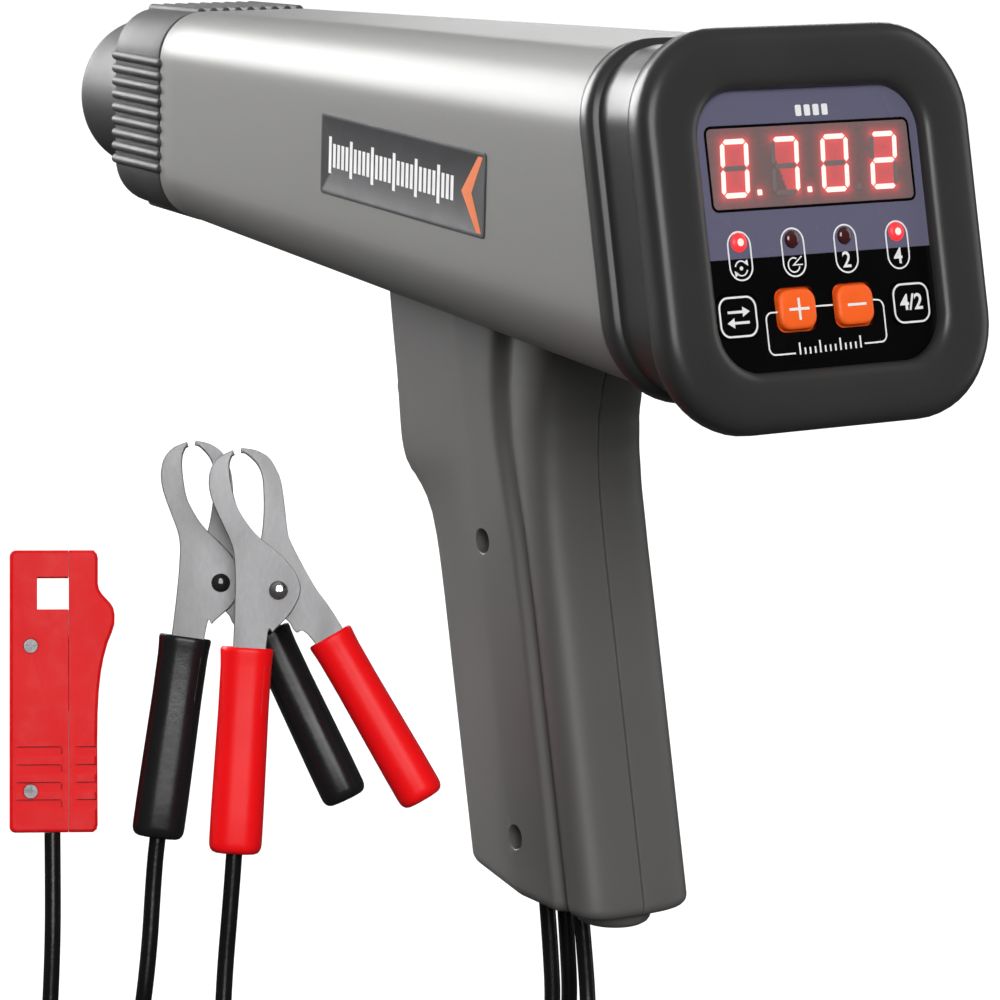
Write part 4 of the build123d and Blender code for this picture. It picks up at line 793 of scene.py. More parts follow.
# sign 1: arrow running round; sign 2: dial with a pointer; then the digits 2 and 4
cx, cy = LED_U[0] + 0.12, -7.2
prints.append(slab(ribbon(arc(cx, cy, 1.5, 35, 165, 14), 0.28), flat, H0, H1))
prints.append(slab(ribbon(arc(cx, cy, 1.5, 215, 345, 14), 0.28), flat, H0, H1))
prints.append(slab(poly([(cx + 1.65, cy + 1.75), (cx + 0.65, cy + 1.1), (cx + 1.75, cy + 0.45)]), flat, H0, H1))
prints.append(slab(poly([(cx - 1.65, cy - 1.75), (cx - 0.65, cy - 1.1), (cx - 1.75, cy - 0.45)]), flat, H0, H1))
prints.append(slab(disc(cx, cy, 0.42, 16), flat, H0, H1))
cx = LED_U[1] + 0.12
prints.append(slab(ribbon(arc(cx - 0.2, cy - 0.1, 1.45, 60, 345, 24), 0.28), flat, H0, H1))
prints.append(slab(ribbon([(cx + 1.9, cy + 1.6), (cx - 0.3, cy - 0.1), (cx + 2.0, cy - 0.1)], 0.28), flat, H0, H1))
for k in (0, 3):                # outlines of the two outer keys
    prints.append(slab(ribbon(rr_at(KEY_U[k] - 0.05, KEY_V[k] - 0.05, 9.0, 7.9, 2.2, 7), 0.42, True), lambda u, v, n: on_panel(u, v, PD + 0.25 + n), 0.0, 0.05))
# bracket that ties the plus and minus keys together
prints.append(slab(ribbon([(-12.4, -16.6)] + arc(-13.9, -18.1, 1.5, 90, 180, 8) + arc(-13.9, -23.7, 1.5, 180, 270, 8) + [(-8.9, -25.2)], W), flat, H0, H1))
prints.append(slab(ribbon([(12.2, -15.6)] + arc(13.3, -17.2, 1.5, 90, 0, 8) + arc(13.3, -22.9, 1.5, 0, -90, 8) + [(8.9, -24.4)], W), flat, H0, H1))
prints.append(slab(ribbon([(-2.6, -16.0), (1.8, -16.0)], W), flat, H0, H1))
for k in range(13):             # scale of ticks between the bracket's ends
    u = -7.7 + k * 1.3
    h = 2.5 if k % 4 == 0 else 1.35
    prints.append(slab(ribbon([(u, -25.55 + 0.03 * k), (u, -25.55 + 0.03 * k + h)], 0.40), flat, H0, H1))
for k in range(4):              # plain marker blocks above the window
    u = -1.6 + k * 2.25
    prints.append(slab(poly(rr_at(u, 24.05, 1.5, 2.3, 0.3, 3)), flat, H0, H1))
make("panel_signs", *join_parts(prints), M["white_print"], slot="panel_print", smooth=False)


def digits(name, text, place, size, mat, body="housing", slot="panel_print", bold=0.0, align="CENTER", depth=0.05):
    """Plain numerals, turned to a mesh and laid on a surface."""
    cu = bpy.data.curves.new(name, "FONT")
    cu.body = text
    cu.size = size
    cu.align_x = align
    cu.align_y = "CENTER"
    cu.offset = bold
    cu.extrude = depth / 2
    cu.resolution_u = 6
    tmp = bpy.data.objects.new(name + "_t", cu)
    scene.collection.objects.link(tmp)
    dg = bpy.context.evaluated_depsgraph_get()
    me = bpy.data.meshes.new_from_object(tmp.evaluated_get(dg))
    vs = [place(v.co.x, v.co.y, v.co.z + depth / 2) for v in me.vertices]
    fs = [tuple(p.vertices) for p in me.polygons]
    bpy.data.objects.remove(tmp)
    bpy.data.curves.remove(cu)
    bpy.data.meshes.remove(me)
    return make(name, vs, fs, mat, body=body, slot=slot, smooth=False)


digits("numeral_2", "2", lambda u, v, n: flat(LED_U[2] + u, -7.15 + v, n), 4.6, M["white_print"], bold=0.06)
digits("numeral_4", "4", lambda u, v, n: flat(LED_U[3] + u, -7.15 + v, n), 4.6, M["white_print"], bold=0.06)
digits("key_numerals", "4/2", lambda u, v, n: on_panel(KEY_U[3] + u, KEY_V[3] + v, PD + 0.25 + n), 4.6, M["white_print"], body="right_key", slot="key_black", bold=0.09)
# left key: generic two-way arrows
ar = []
kf = lambda u, v, n: on_panel(KEY_U[0] + u, KEY_V[0] + v, PD + 0.25 + n)
ar.append(slab(ribbon([(-2.6, 0.95), (1.2, 0.95)], 0.55), kf, 0, 0.05))
ar.append(slab(poly([(2.9, 0.95), (1.1, 2.0), (1.1, -0.1)]), kf, 0, 0.05))
ar.append(slab(ribbon([(2.6, -1.25), (-1.2, -1.25)], 0.55), kf, 0, 0.05))
ar.append(slab(poly([(-2.9, -1.25), (-1.1, -2.3), (-1.1, -0.2)]), kf, 0, 0.05))
make("key_arrows", *join_parts(ar), M["white_print"], body="left_key", slot="key_black", smooth=False)

# raised orange keys: pillowed caps with rounded shoulders
for idx, (label, body, node) in ((1, ("plus", "plus_key", "key_plus")), (2, ("minus", "minus_key", "key_minus"))):
    u0, v0 = KEY_U[idx], KEY_V[idx]
    rg = []
    for ins, n in ((-0.8, -2.0), (-0.8, -1.2), (0.0, -1.2), (0.0, 0.25), (0.06, 0.5), (0.22, 0.76), (0.5, 0.94), (0.95, 1.03), (1.8, 1.08), (3.2, 1.1), (4.2, 1.1)):
        rg.append([on_panel(u0 + x, v0 + y, PD + n) for x, y in rr(9.3 - 2 * ins, 8.3 - 2 * ins, 2.6 - ins * 0.6 if ins < 3 else 0.3, 8, 3)])
    make(f"{label}_cap", *skin(rg, True, True, True), M["key_orange"], body=body, slot="key_orange", replaces=[node], angle=40)
    sg = []
    kp = lambda u, v, n, u0=u0, v0=v0: on_panel(u0 + u, v0 + v, PD + 1.09 + n)
    if idx == 1:
        a, b = 2.55, 0.29
        sg.append(slab(poly([(-a, -b), (-b, -b), (-b, -a + 0.3), (b, -a + 0.3), (b, -b), (a, -b), (a, b), (b, b), (b, a - 0.3), (-b, a - 0.3), (-b, b), (-a, b)]), kp, 0, 0.06))
    else:
        sg.append(slab(poly([(-2.4, -0.29), (2.4, -0.29), (2.4, 0.29), (-2.4, 0.29)]), kp, 0, 0.06))
    make(f"{label}_sign", *join_parts(sg), M["white_print"], body=body, slot="key_orange", smooth=False)
# flat black keys
for idx, body, node in ((0, "left_key", "key_left"), (3, "right_key", "key_right")):
    u0, v0 = KEY_U[idx], KEY_V[idx]
    rg = []
    for ins, n in ((-0.8, -2.0), (-0.8, -1.2), (0.0, -1.2), (0.0, 0.05), (0.08, 0.17), (0.25, 0.235), (0.6, 0.25), (3.9, 0.25)):
        rg.append([on_panel(u0 + x, v0 + y, PD + n) for x, y in rr(10.1 - 2 * ins, 8.7 - 2 * ins, 2.4 - ins * 0.4, 8, 3)])
    make(node + "_cap", *skin(rg, True, True, True), M["key_black"], body=body, slot="key_black", replaces=[node], angle=40)

# indicators: domed lenses in a bezel, two lit and two dark
led_parts = {"led_lit": [], "led_off": []}
for k, u in enumerate(LED_U):
    kind = "led_lit" if k in (0, 3) else "led_off"
    w = 1.12 if k in (0, 3) else 1.0
    prof_ = [(1.62, -6.0), (1.62, -0.6), (1.74 * w, -0.05), (1.74 * w, 0.05), (1.66 * w, 0.30), (1.42 * w, 0.52), (1.05 * w, 0.68), (0.55 * w, 0.77), (0.0, 0.80)]
    led_parts[kind].append(revolve(prof_, lambda a, b, n, u=u: on_panel(u + 0.12 + a, -2.0 + b, PD + n), 32))
make("leds_lit", *join_parts(led_parts["led_lit"]), M["led_lit"], slot="led_red", replaces=["indicator_leds"], angle=60)
make("leds_dark", *join_parts(led_parts["led_off"]), M["led_off"], slot="led_red", replaces=["indicator_leds"], angle=60)
cores = []
for u in (LED_U[0], LED_U[3]):
    cores.append(revolve([(0.95, 0.70), (0.7, 0.765), (0.4, 0.80), (0.0, 0.815)], lambda a, b, n, u=u: on_panel(u + 0.12 + a, -2.0 + b, PD + n), 24))
make("led_cores", *join_parts(cores), M["led_core"], slot="led_red", angle=60)

# ---------------------------------------------------------------- display: window with glow, seven-segment digits
WIN = (0.32, 12.96, 51.3, 16.4)
DIG_U = [-19.05 - 0.02, -6.35 - 0.02, 6.35 - 0.02, 19.05 - 0.02]
DIG_V = 12.95
DW, DH, TH, SL = 7.0, 11.9, 1.05, math.tan(radians(4.5))
SEGS = {"0": "abcdef", "7": "abc", "2": "abdeg"}


def seg_shape(kind, cx, cy):
    hw, hh, t = DW / 2 - TH / 2, DH / 2 - TH / 2, TH / 2
    g = 0.22
    def bar(x0, y0, x1, y1):
        if abs(y1 - y0) < 1e-6:
            return [(x0 + g, y0), (x0 + g + t, y0 + t), (x1 - g - t, y0 + t), (x1 - g, y0), (x1 - g - t, y0 - t), (x0 + g + t, y0 - t)]
        return [(x0, y0 + g), (x0 + t, y0 + g + t), (x0 + t, y1 - g - t), (x0, y1 - g), (x0 - t, y1 - g - t), (x0 - t, y0 + g + t)]
    pts = {"a": bar(-hw, hh, hw, hh), "g": bar(-hw, 0, hw, 0), "d": bar(-hw, -hh, hw, -hh), "f": bar(-hw, 0, -hw, hh), "b": bar(hw, 0, hw, hh),
           "e": bar(-hw, -hh, -hw, 0), "c": bar(hw, -hh, hw, 0)}[kind]
    return [(cx + x + (y) * SL, cy + y) for x, y in pts]


lit, off = [], []
lit_pts = []
for u, ch in zip(DIG_U, "0702"):
    for kname in "abcdefg":
        shp = seg_shape(kname, u, DIG_V)
        on = kname in SEGS[ch]
        (lit if on else off).append(slab(poly(shp), flat, -0.02, 0.10 if on else 0.085))
        if on:
            a = ((shp[0][0] + shp[3][0]) / 2, (shp[0][1] + shp[3][1]) / 2)
            lit_pts += [(shp[0][0] + (shp[3][0] - shp[0][0]) * i / 8, shp[0][1] + (shp[3][1] - shp[0][1]) * i / 8) for i in range(9)]
for k, u in enumerate(DIG_U):
    if k == 3:
        continue
    dot = poly(rr_at(u + 5.55, DIG_V - DH / 2 + 0.85, 1.15, 1.15, 0.2, 3))
    on = k < 2
    (lit if on else off).append(slab(dot, flat, -0.02, 0.10 if on else 0.085))
    if on:
        lit_pts += [(u + 5.55, DIG_V - DH / 2 + 0.85)]
make("segments_lit", *join_parts(lit), M["seg_lit"], slot="display_red", smooth=False)
make("segments_dark", *join_parts(off), M["seg_off"], slot="display_red", smooth=False)

# window face: a fine grid that carries the glow round the lit segments
nx, ny = 150, 52
vs, fs, glow = [], [], []
x0, x1 = WIN[0] - WIN[2] / 2, WIN[0] + WIN[2] / 2
y0, y1 = WIN[1] - WIN[3] / 2, WIN[1] + WIN[3] / 2
for j in range(ny + 1):
    for i in range(nx + 1):
        x, y = x0 + (x1 - x0) * i / nx, y0 + (y1 - y0) * j / ny
        d2 = min((x - a) ** 2 + (y - b) ** 2 for a, b in lit_pts)
        vs.append(flat(x, y, 0.03))
        inside = 0.0
        for u_, ch in zip(DIG_U, "0702"):
            xl = x - u_ - (y - DIG_V) * SL
            if abs(xl) < DW / 2 - 0.5 and abs(y - DIG_V) < DH / 2 - 0.5:
                if ch == "0" or (ch == "2") or (ch == "7" and (xl + 2.4) > -(y - DIG_V) * 0.42 + 0.6):
                    inside = 0.42
        glow.append(max(inside, 0.0) * 1.0 + (0.40 if inside == 0 else 0.10) * math.exp(-d2 / 0.8) + 0.16 * math.exp(-d2 / 5.0))
for j in range(ny):
    for i in range(nx):
        a = j * (nx + 1) + i
        fs.append((a, a + 1, a + nx + 2, a + nx + 1))
M["window"] = glow_mat("mat_window", (0.19, 0.13, 0.13), (1.0, 0.016, 0.022), 1.0)
win = make("window_face", vs, fs, M["window"], slot="smoked_window", smooth=False)
ca = win.data.color_attributes.new("glow", "FLOAT_COLOR", "POINT")
order = [tuple(round(c, 7) for c in (Vector(v) * MM)) for v in vs]
look = {k: g for k, g in zip(order, glow)}
for i, v in enumerate(win.data.vertices):
    g = look.get(tuple(round(c, 7) for c in v.co))
    if g is None:
        g = 0.0
    ca.data[i].color = (g, g, g, 1)
# frame of the window
fr = []
outer = rr_at(WIN[0], WIN[1], WIN[2] + 0.5, WIN[3] + 0.5, 1.4, 6)
fr.append(slab(ribbon(outer, 0.55, True), flat, 0.0, 0.09))
make("window_frame", *join_parts(fr), M["key_black"], slot="panel_print", smooth=False)


# ---------------------------------------------------------------- nameplate
tan_side = (REAR[0] - FRONT[0]) / 2 / END
PY = 109.3
PX = -(REAR[0] / 2 - (REAR[0] - FRONT[0]) / 2 * PY / END)
PXD = Vector((-tan_side, -1, -0.017)).normalized()
PND = Vector((-1, tan_side, 0)).normalized()
PYD = PND.cross(PXD).normalized()
PO = Vector((PX, -105 + PY, 105.35))


def on_plate(u, v, n):
    return PO + PXD * u + PYD * v + PND * n


rg = []
for ins, n in ((0.0, -0.5), (0.0, 0.10), (0.10, 0.22), (0.3, 0.25), (0.9, 0.25), (1.05, 0.19), (9.0, 0.19)):
    rg.append([on_plate(x, y, n) for x, y in rr(76.6 - 2 * ins, 18.4 - 2 * ins, 0.8, 4, 4)])
make("plate", *skin(rg, True, True, True), M["plate"], slot="plate_dark", replaces=["nameplate"], angle=30)
pg = lambda u, v, n: on_plate(u, v, 0.19 + n)
# generic timing scale in place of lettering, and the orange chevron
tick = []
for k in range(29):
    u = -33.6 + k * 2.05
    h = 8.4 if k % 5 == 0 else 5.4
    tick.append(slab(poly([(u - 0.62, -h / 2), (u + 0.62, -h / 2), (u + 0.62, h / 2), (u - 0.62, h / 2)]), pg, 0.0, 0.05))
make("plate_scale", *join_parts(tick), M["white_print"], slot="plate_dark", smooth=False)
make("plate_chevron", *join_parts([slab(([(28.0, 0.0), (35.0, 8.2), (37.0, 8.2), (32.4, 0.0), (37.0, -8.2), (35.0, -8.2)], [(0, 3, 2, 1), (0, 5, 4, 3)]), pg, 0.0, 0.05)]),
     M["orange_print"], slot="plate_dark", smooth=False)

# ---------------------------------------------------------------- battery clips
CLIPS = {
    "red": (Vector((-58.0, 14.56, 11.82)), Vector((0.86409, -0.50325, 0.0091)), Vector((-0.49304, -0.84266, 0.21641)), 0.0),
    "black": (Vector((-60.93, 35.56, 9.75)), Vector((0.87092, -0.49139, 0.00638)), Vector((-0.48113, -0.84994, 0.21475)), -4.6),
}
A_OUT = [(-10.2, 31.2), (-13.2, 29.6), (-15.0, 27.2), (-15.5, 24.4), (-15.3, 22.0), (-14.4, 19.0), (-12.5, 14.8), (-10.7, 10.9), (-9.9, 7.6), (-9.7, 3.5), (-9.7, -1.0),
         (-10.1, -12.5), (-12.1, -54.5)]
A_IN = [(-5.4, -54.5), (-2.7, -12.6), (-1.2, -9.4), (0.7, -7.3), (2.6, -5.2), (4.4, -2.0), (4.9, 0.4), (4.4, 2.6), (3.0, 5.0), (0.6, 7.8), (-4.4, 11.9), (-7.0, 14.9),
        (-9.2, 18.6), (-10.3, 22.4), (-10.9, 25.8), (-10.9, 28.6), (-10.0, 30.9)]
B_OUT = [(-8.3, 31.7), (-5.0, 31.2), (-2.2, 29.6), (-0.3, 26.6), (0.7, 23.6), (1.5, 17.8), (2.0, 13.4), (3.0, 10.2), (8.0, 0.9), (14.2, -8.3), (32.8, -41.0)]
B_IN = [(28.4, -43.6), (8.4, -12.2), (3.9, -9.4), (2.4, -7.2), (0.2, -5.4), (-2.6, -4.3), (-4.6, -2.0), (-5.1, 1.0), (-5.1, 5.0), (-4.3, 8.5), (-3.9, 11.5), (-3.5, 14.6),
        (-3.3, 19.2), (-3.6, 25.0), (-4.7, 28.0), (-6.6, 30.0), (-8.3, 31.1)]
SHEET = 0.9


def smooth_outline(outer, inner, per=5):
    """Both edges of a jaw as smooth lines, tip to tail and tail to tip; the tails stay straight."""
    o = [tuple(p) for p in spline(outer, per)]
    i = [tuple(p) for p in spline(inner, per)]
    return o, i


def tri_fill(points):
    """Triangulates a simple outline; returns faces."""
    from mathutils.geometry import tessellate_polygon
    return [tuple(t) for t in tessellate_polygon([[Vector((p[0], p[1], 0)) for p in points]])]


def side_plate(outline, n0, n1, place, rim=0.16):
    """Flat sheet side with rounded rims: outline is a closed 2-D list."""
    n = len(outline)
    def offset(d):
        out = []
        for k in range(n):
            a, p, b = Vector(outline[k - 1]), Vector(outline[k]), Vector(outline[(k + 1) % n])
            t = (b - a)
            if t.length < 1e-9:
                t = Vector((1, 0))
            t.normalize()
            out.append((p.x - t.y * d * ORI, p.y + t.x * d * ORI))
        return out
    area = sum(outline[k - 1][0] * outline[k][1] - outline[k][0] * outline[k - 1][1] for k in range(n))
    ORI = 1 if area > 0 else -1
    inner = offset(rim)
    inner2 = offset(rim * 0.3)
    flat_in = offset(rim + 0.10)
    levels = [(flat_in, n1), (inner, n1), (inner2, n1 - rim * 0.3), (outline, n1 - rim), (outline, n0 + rim), (inner2, n0 + rim * 0.3), (inner, n0), (flat_in, n0)]
    rings_ = [[place(x, y, z) for x, y in pts] for pts, z in levels]
    vs_, fs_ = skin(rings_, True)
    tri = tri_fill(flat_in)
    last_ = (len(levels) - 1) * n
    fs_ += [tuple(t) for t in tri]
    fs_ += [tuple(i + last_ for i in reversed(t)) for t in tri]
    return vs_, fs_


def spine(edge, half, thick, place, toward):
    """Curved web of the channel along one edge; its corners roll into the sides."""
    n = len(edge)
    nr = []
    for k in range(n):
        a = Vector(edge[max(0, k - 1)]); b = Vector(edge[min(n - 1, k + 1)])
        t = (b - a).normalized()
        nr.append(Vector((-t.y, t.x)) * toward)
    prof_ = []
    r = thick
    for k in range(5):
        a = radians(90 * k / 4)
        prof_.append((r - r * sin(a), half - r + r * cos(a)))
    for k in range(5):
        a = radians(90 - 90 * k / 4)
        prof_.append((r - r * sin(a), -(half - r) - r * cos(a)))
    prof_ += [(thick, -half + 0.05), (thick, half - 0.05)]
    rings_ = []
    for p, q in zip(edge, nr):
        rings_.append([place(p[0] + q.x * d, p[1] + q.y * d, z) for d, z in prof_])
    return skin(rings_, True, True, True)


def sleeve_mesh(p0, p1, w, d, place, mouth=1.35):
    """Dipped PVC sleeve: rolled mouth, slight waist, thickened round end; w across the sheet, d along n."""
    a, b = Vector(p0), Vector(p1)
    run = (b - a).length
    t = (b - a) / run
    q = Vector((-t.y, t.x))
    rings_ = []
    prof_ = [(-0.9, 1.6), (-1.2, 0.6), (-0.85, 0.12), (-0.3, 0.0), (0.0, 0.35), (0.02, 1.0), (-0.10, 2.2), (-0.22, 4.5), (-0.26, run * 0.3), (-0.12, run * 0.55), (0.0, run * 0.8),
             (0.0, run - 2.6), (-0.08, run - 1.7), (-0.35, run - 0.95), (-0.8, run - 0.42), (-1.5, run - 0.12), (-2.6, run), (-4.2, run)]
    for ins, s_ in prof_:
        c_ = a + t * s_
        ring = []
        for x, y in rr(w + 2 * ins, d + 2 * ins, 4.6 + ins, 9, 3):
            ring.append(place(c_.x + q.x * x, c_.y + q.y * x, y))
        rings_.append(ring)
    # inside wall of the mouth
    inner = []
    for ins, s_ in ((-2.4, 14.0), (-1.75, 5.0), (-1.45, 2.4)):
        c_ = a + t * s_
        inner.append([place(c_.x + q.x * x, c_.y + q.y * x, y) for x, y in rr(w + 2 * ins, d + 2 * ins, 3.6, 9, 3)])
    return skin(inner + rings_, True, False, True)


for colour, (o, xd, nd, turn) in CLIPS.items():
    nd = nd.normalized()
    xd = (xd - nd * xd.dot(nd)).normalized()
    yd = nd.cross(xd)
    if turn:
        a = radians(turn)
        xd, yd = xd * cos(a) + yd * sin(a), yd * cos(a) - xd * sin(a)
    place = lambda x, y, n, o=o, xd=xd, yd=yd, nd=nd: o + xd * x + yd * y + nd * n
    oa, ia = smooth_outline(A_OUT, A_IN)
    out_a = oa + ia
    # fixed jaw, outer channel
    parts = [side_plate(out_a, 5.1 - SHEET, 5.1, place), side_plate(out_a, -5.1, -5.1 + SHEET, place)]
    parts.append(spine(oa, 5.1, SHEET, place, 1))
    make(f"{colour}_jaw", *join_parts(parts), M["steel"], slot="sheet_steel", replaces=[f"{colour}_clip_jaw"], angle=24)
    ob_, ib_ = smooth_outline(B_OUT, B_IN)
    out_b = ob_ + ib_
    parts = [side_plate(out_b, 3.9 - SHEET, 3.9, place), side_plate(out_b, -3.9, -3.9 + SHEET, place)]
    parts.append(spine(ob_, 3.9, SHEET, place, -1))
    make(f"{colour}_jaw_moving", *join_parts(parts), M["steel"], body=f"{colour}_jaw", slot="sheet_steel", replaces=[f"{colour}_clip_moving_jaw"], angle=24)
    # rivet with domed head and washer step
    rp = [(0.0, -6.1), (1.0, -6.05), (1.75, -5.75), (2.05, -5.3), (2.1, -5.1), (1.6, -5.1), (1.6, 5.1), (2.1, 5.1), (2.12, 5.35), (1.95, 5.8), (1.55, 6.15), (1.0, 6.35), (0.5, 6.42),
          (0.0, 6.44)]
    make(f"{colour}_rivet", *revolve(rp, lambda a, b, n, place=place: place(a, b, n), 40), M["chrome"] if colour == "red" else M["rivet_black"],
         slot="rivet_chrome" if colour == "red" else "rivet_black", replaces=[f"{colour}_clip_rivet"], angle=60)
    # sleeves
    make(f"{colour}_sleeve_a", *sleeve_mesh((-7.0, -12.8), (-9.75, -58.75), 11.8, 12.6, place), M[f"sleeve_{colour}"], slot=f"sleeve_{colour}",
         replaces=[f"{colour}_sleeve_lead"], angle=50)
    make(f"{colour}_sleeve_b", *sleeve_mesh((11.4, -10.25), (32.5, -46.9), 10.4, 10.6, place), M[f"sleeve_{colour}"], body=f"{colour}_jaw", slot=f"sleeve_{colour}",
         replaces=[f"{colour}_sleeve_plain"], angle=50)
    # torsion spring: wound wire with two legs
    wire = []
    for k in range(61):
        a = radians(200 + 360 * 3.5 * k / 60)
        wire.append(place(2.65 * cos(a), 2.65 * sin(a), -2.1 + 4.2 * k / 60))
    leg0 = [place(-9.0, 10.0, -2.1), place(-6.5, 5.0, -2.1), place(-3.6, 0.2, -2.1)]
    a_end = radians(200 + 360 * 3.5)
    leg1 = [place(2.9, 1.0, 2.1), place(1.9, 5.2, 2.1), place(1.0, 9.4, 2.1)]
    line = [Vector(p) for p in leg0 + wire + leg1]
    cu = bpy.data.curves.new(f"{colour}_spring_wire", "CURVE")
    cu.dimensions = "3D"
    sp = cu.splines.new("POLY")
    sp.points.add(len(line) - 1)
    for q_, p in zip(sp.points, line):
        q_.co = (*(p * MM), 1)
    cu.bevel_depth = 0.00042
    cu.bevel_resolution = 4
    cu.use_fill_caps = True
    cu.materials.append(M["spring"])
    so = bpy.data.objects.new(f"{colour}_spring", cu)
    scene.collection.objects.link(so)
    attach(so, "housing"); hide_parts(f"{colour}_clip_spring")

# ---------------------------------------------------------------- cords: facts, ties, finish and lengths
RED_ON = ["red_jaw", "red_jaw_moving", "red_rivet", "red_sleeve_a", "red_sleeve_b", "red_spring"]
CORD_FACTS = {
    "red": dict(far_end="connector", nodes=["red_lead_grip", "red_lead_clip", "red_lead_coil"]),
    "black": dict(far_end="connector", nodes=["black_lead_grip", "black_lead_clip", "black_lead_coil"]),
    "pickup": dict(far_end="fitting", nodes=["pickup_lead_grip", "pickup_lead_head", "pickup_lead_coil"]),
}
# ties round the coils: a nylon strap loop
parts = []
for name, d in LEADS.items():
    cx, cy = d["coil"]
    mr = (29.8 + 11.2) / 2
    oc = Vector((cx + mr * 0.70711, cy + mr * 0.70711, -118 + 3.7))
    ra, ta = Vector((0.70711, 0.70711, 0)), Vector((-0.70711, 0.70711, 0))
    for_r = []
    sect = [(1.25, 0.0), (1.25, 0.5), (-1.25, 0.5), (-1.25, 0.0)]
    loop = rr(29.8 - 11.2 + 0.9, 7.45, 2.2, 5, 3)
    loop_o = rr(29.8 - 11.2 + 2.0, 8.4, 2.7, 5, 3)
    rings_ = []
    for (xi, zi), (xo, zo) in zip(loop, loop_o):
        rings_.append([oc + ra * xi + Vector((0, 0, zi)) + ta * 1.25, oc + ra * xo + Vector((0, 0, zo)) + ta * 1.25,
                       oc + ra * xo + Vector((0, 0, zo)) - ta * 1.25, oc + ra * xi + Vector((0, 0, zi)) - ta * 1.25])
    rings_.append(rings_[0])
    parts.append(skin(rings_, True))
ties = make("lead_ties", *join_parts(parts), M["tie"], slot="tie_black", replaces=["coil_ties"], angle=40)

for name, (ob, pts) in cords.items():
    ob.data.materials.append(M["lead"])
    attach(ob, "housing")
    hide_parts(*CORD_FACTS[name]["nodes"])

lead_len = {}
for name, (ob, pts) in cords.items():
    tmp = ob.copy(); tmp.data = ob.data.copy(); tmp.data.bevel_depth = 0
    scene.collection.objects.link(tmp)
    dg = bpy.context.evaluated_depsgraph_get()
    me = bpy.data.meshes.new_from_object(tmp.evaluated_get(dg))
    co = [v.co.copy() for v in me.vertices]
    lead_len[name] = sum((b - a).length for a, b in zip(co, co[1:]))
    bpy.data.objects.remove(tmp)
print("LEAD LENGTHS", lead_len)

PICK_NODES = ["pickup_front_shell", "pickup_back_shell", "pickup_core", "pickup_screws", "pickup_slide", "pickup_slide_core", "pickup_spring"]
on = {
    "red": [ALL["red_jaw"], ALL["red_jaw_moving"], ALL["red_rivet"], ALL["red_sleeve_a"], ALL["red_sleeve_b"], bpy.data.objects["red_spring"]],
    "black": [ALL["black_jaw"], ALL["black_jaw_moving"], ALL["black_rivet"], ALL["black_sleeve_a"], ALL["black_sleeve_b"], bpy.data.objects["black_spring"], ALL["lead_ties"]],
    "pickup": [nodes_by[n] for n in PICK_NODES if n in nodes_by],
}

# ---------------------------------------------------------------- finishes of the carried CAD pieces
CAD_MATS = {
    "display_panel": "panel", "display_window": "key_black", "led_display": "seg_off", "indicator_leds": "led_off", "tact_switches": "part", "display_board": "pcb",
    "power_board": "pcb", "board_posts": "cap", "flash_capacitor": "part", "trigger_coil": "part", "reflector": "mirror", "lamp_holder": "part", "flash_lamp": "lens",
    "grip_screws": "screw", "trigger_spring": "spring", "trigger_switch": "part", "pickup_core": "ferrite", "pickup_front_shell": "pickup", "pickup_back_shell": "pickup",
    "pickup_screws": "screw", "pickup_slide": "pickup", "pickup_slide_core": "ferrite", "pickup_spring": "spring",
}
PO_, PX_, PZ_ = Vector((-95.85, 50.38, -14.71)), Vector((0.88964, -0.45667, -0.00147)).normalized(), Vector((-0.44298, -0.86375, 0.24022))
PZ_ = (PZ_ - PX_ * PZ_.dot(PX_)).normalized()
PY_ = PZ_.cross(PX_)


def on_pick(x, y, n):
    return PO_ + PX_ * x + PY_ * y + PZ_ * n


def bar(x0, x1, y0, y1, n0, n1):
    return slab(poly([(x0, y0), (x1, y0), (x1, y1), (x0, y1)]), on_pick, n0, n1)


# painted shade: a dark red strip fills the seam gap between the shells and the slide, where there is only shade
seam = [bar(3.31, 3.36, -31.9, 18.4, -13.4, -0.75), bar(3.31, 3.36, 26.2, 31.9, -13.4, -0.75)]
make("pickup_seam_painted_shade", *join_parts(seam), M["pickup_line"], slot="pickup_red", smooth=False)
# painted shadow: dark red strips along the upper wall and the inner end of each finger groove, where shade falls
groove_shadow_a, groove_shadow_b = [], []
for y in (-13.65, -17.7, -21.7, -25.65):
    groove_shadow_a += [bar(-8.4, 1.6, y + 0.99, y + 1.15, -0.54, -0.03), bar(1.74, 1.90, y - 0.55, y + 0.70, -0.54, -0.03)]
    groove_shadow_b.append(bar(5.2, 9.6, y + 0.99, y + 1.15, -0.54, -0.03))
make("pickup_groove_painted_shadows", *join_parts(groove_shadow_a), M["pickup_floor"], slot="pickup_red", smooth=False)
make("pickup_slide_groove_painted_shadows", *join_parts(groove_shadow_b), M["pickup_floor"], body="thumb_slide", slot="pickup_red", smooth=False)

for nname, ob in nodes_by.items():
    if nname in CAD_MATS and getattr(ob, "data", None) is not None:
        if not ob.material_slots:
            ob.data.materials.append(M[CAD_MATS[nname]])
        for sl in ob.material_slots:
            sl.material = M[CAD_MATS[nname]]

# ---------------------------------------------------------------- floor, backdrop and light
def stage_obj(name, vs, fs, mat):
    me = bpy.data.meshes.new(name)
    me.from_pydata(vs, [], fs)
    ob = bpy.data.objects.new(name, me)
    scene.collection.objects.link(ob)
    me.materials.append(mat)
    ob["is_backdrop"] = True
    return ob


def white_mat(name, e, base=0.8):
    m, nt, nodes, links, bsdf = new_mat(name)
    bsdf.inputs["Base Color"].default_value = (base, base, base, 1)
    bsdf.inputs["Roughness"].default_value = 0.9
    bsdf.inputs["Specular IOR Level"].default_value = 0.0
    bsdf.inputs["Emission Color"].default_value = (1, 1, 1, 1)
    bsdf.inputs["Emission Strength"].default_value = e
    return m


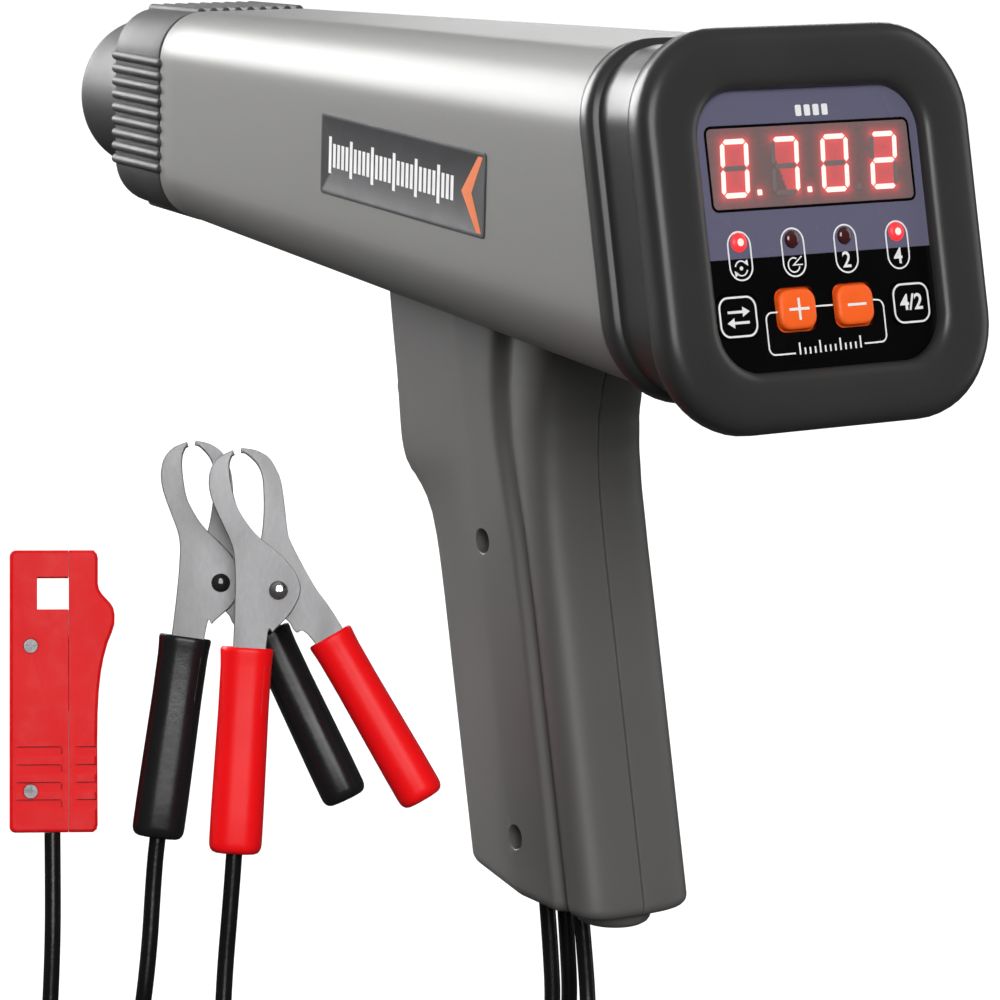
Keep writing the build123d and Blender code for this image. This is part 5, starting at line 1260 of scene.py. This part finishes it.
L = 40
floor = stage_obj("floor", [(-L, -L, -0.1185), (L, -L, -0.1185), (L, L, -0.1185), (-L, L, -0.1185)], [(0, 1, 2, 3)], white_mat("mat_floor", 1.0, 0.15))
dome_v, dome_f = [], []
for j in range(13):
    e = radians(-6 + 96 * j / 12)
    for i in range(48):
        a = 2 * pi * i / 48
        dome_v.append((38 * cos(e) * cos(a), 38 * cos(e) * sin(a), 38 * sin(e)))
for j in range(12):
    for i in range(48):
        k = (i + 1) % 48
        dome_f.append((j * 48 + i, j * 48 + k, (j + 1) * 48 + k, (j + 1) * 48 + i))
dome = stage_obj("backdrop", dome_v, dome_f, white_mat("mat_backdrop", 1.05, 0.1))
for o_ in (floor, dome):
    o_.visible_diffuse = False
    o_.visible_glossy = False
    o_.visible_transmission = True
    o_.visible_shadow = False

world = bpy.data.worlds.new("world")
scene.world = world
world.use_nodes = True
wn, wl = world.node_tree.nodes, world.node_tree.links
bg = wn["Background"]
tcw = wn.new("ShaderNodeTexCoord")
sepw = wn.new("ShaderNodeSeparateXYZ")
wl.new(tcw.outputs["Generated"], sepw.inputs[0])
ramp = wn.new("ShaderNodeValToRGB")
mr_ = wn.new("ShaderNodeMapRange")
mr_.inputs["From Min"].default_value = -1
mr_.inputs["From Max"].default_value = 1
wl.new(sepw.outputs["Z"], mr_.inputs["Value"])
wl.new(mr_.outputs["Result"], ramp.inputs["Fac"])
cr = ramp.color_ramp
cr.elements[0].position = 0.0; cr.elements[0].color = (0.15, 0.15, 0.15, 1)
cr.elements[1].position = 1.0; cr.elements[1].color = (0.62, 0.62, 0.63, 1)
for pos, val in ((0.40, 0.17), (0.50, 0.18), (0.62, 0.26), (0.8, 0.42)):
    e_ = cr.elements.new(pos); e_.color = (val, val, val, 1)
wl.new(ramp.outputs["Color"], bg.inputs["Color"])
bg.inputs["Strength"].default_value = 0.42


def area(name, loc, target, size, power, size_y=None, color=(1, 1, 1)):
    ld = bpy.data.lights.new(name, "AREA")
    ld.energy = power
    ld.shape = "RECTANGLE"
    ld.size = size
    ld.size_y = size_y or size
    ld.color = color
    ob = bpy.data.objects.new(name, ld)
    scene.collection.objects.link(ob)
    ob.location = loc
    ob.rotation_euler = (Vector(target) - Vector(loc)).to_track_quat("-Z", "Y").to_euler()
    ob.visible_camera = False
    return ob


area("key_forward_left", (-0.8, 1.85, 0.75), (0, 0.02, 0.05), 1.3, 72, 1.1)
area("top_strip", (0.1, 1.45, 1.2), (0, 0.05, 0.1), 1.0, 6, 0.5)
area("camera_fill", (-0.9, -1.9, 1.0), (-0.03, 0, 0.02), 1.3, 46, 1.3)
area("right_rim", (1.4, -0.5, 0.5), (0, 0, 0.05), 0.7, 5, 1.4)
area("back_edge", (1.3, 1.6, 0.7), (0, 0.02, 0.12), 0.7, 6, 0.7)

vis_box = as_list(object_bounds())
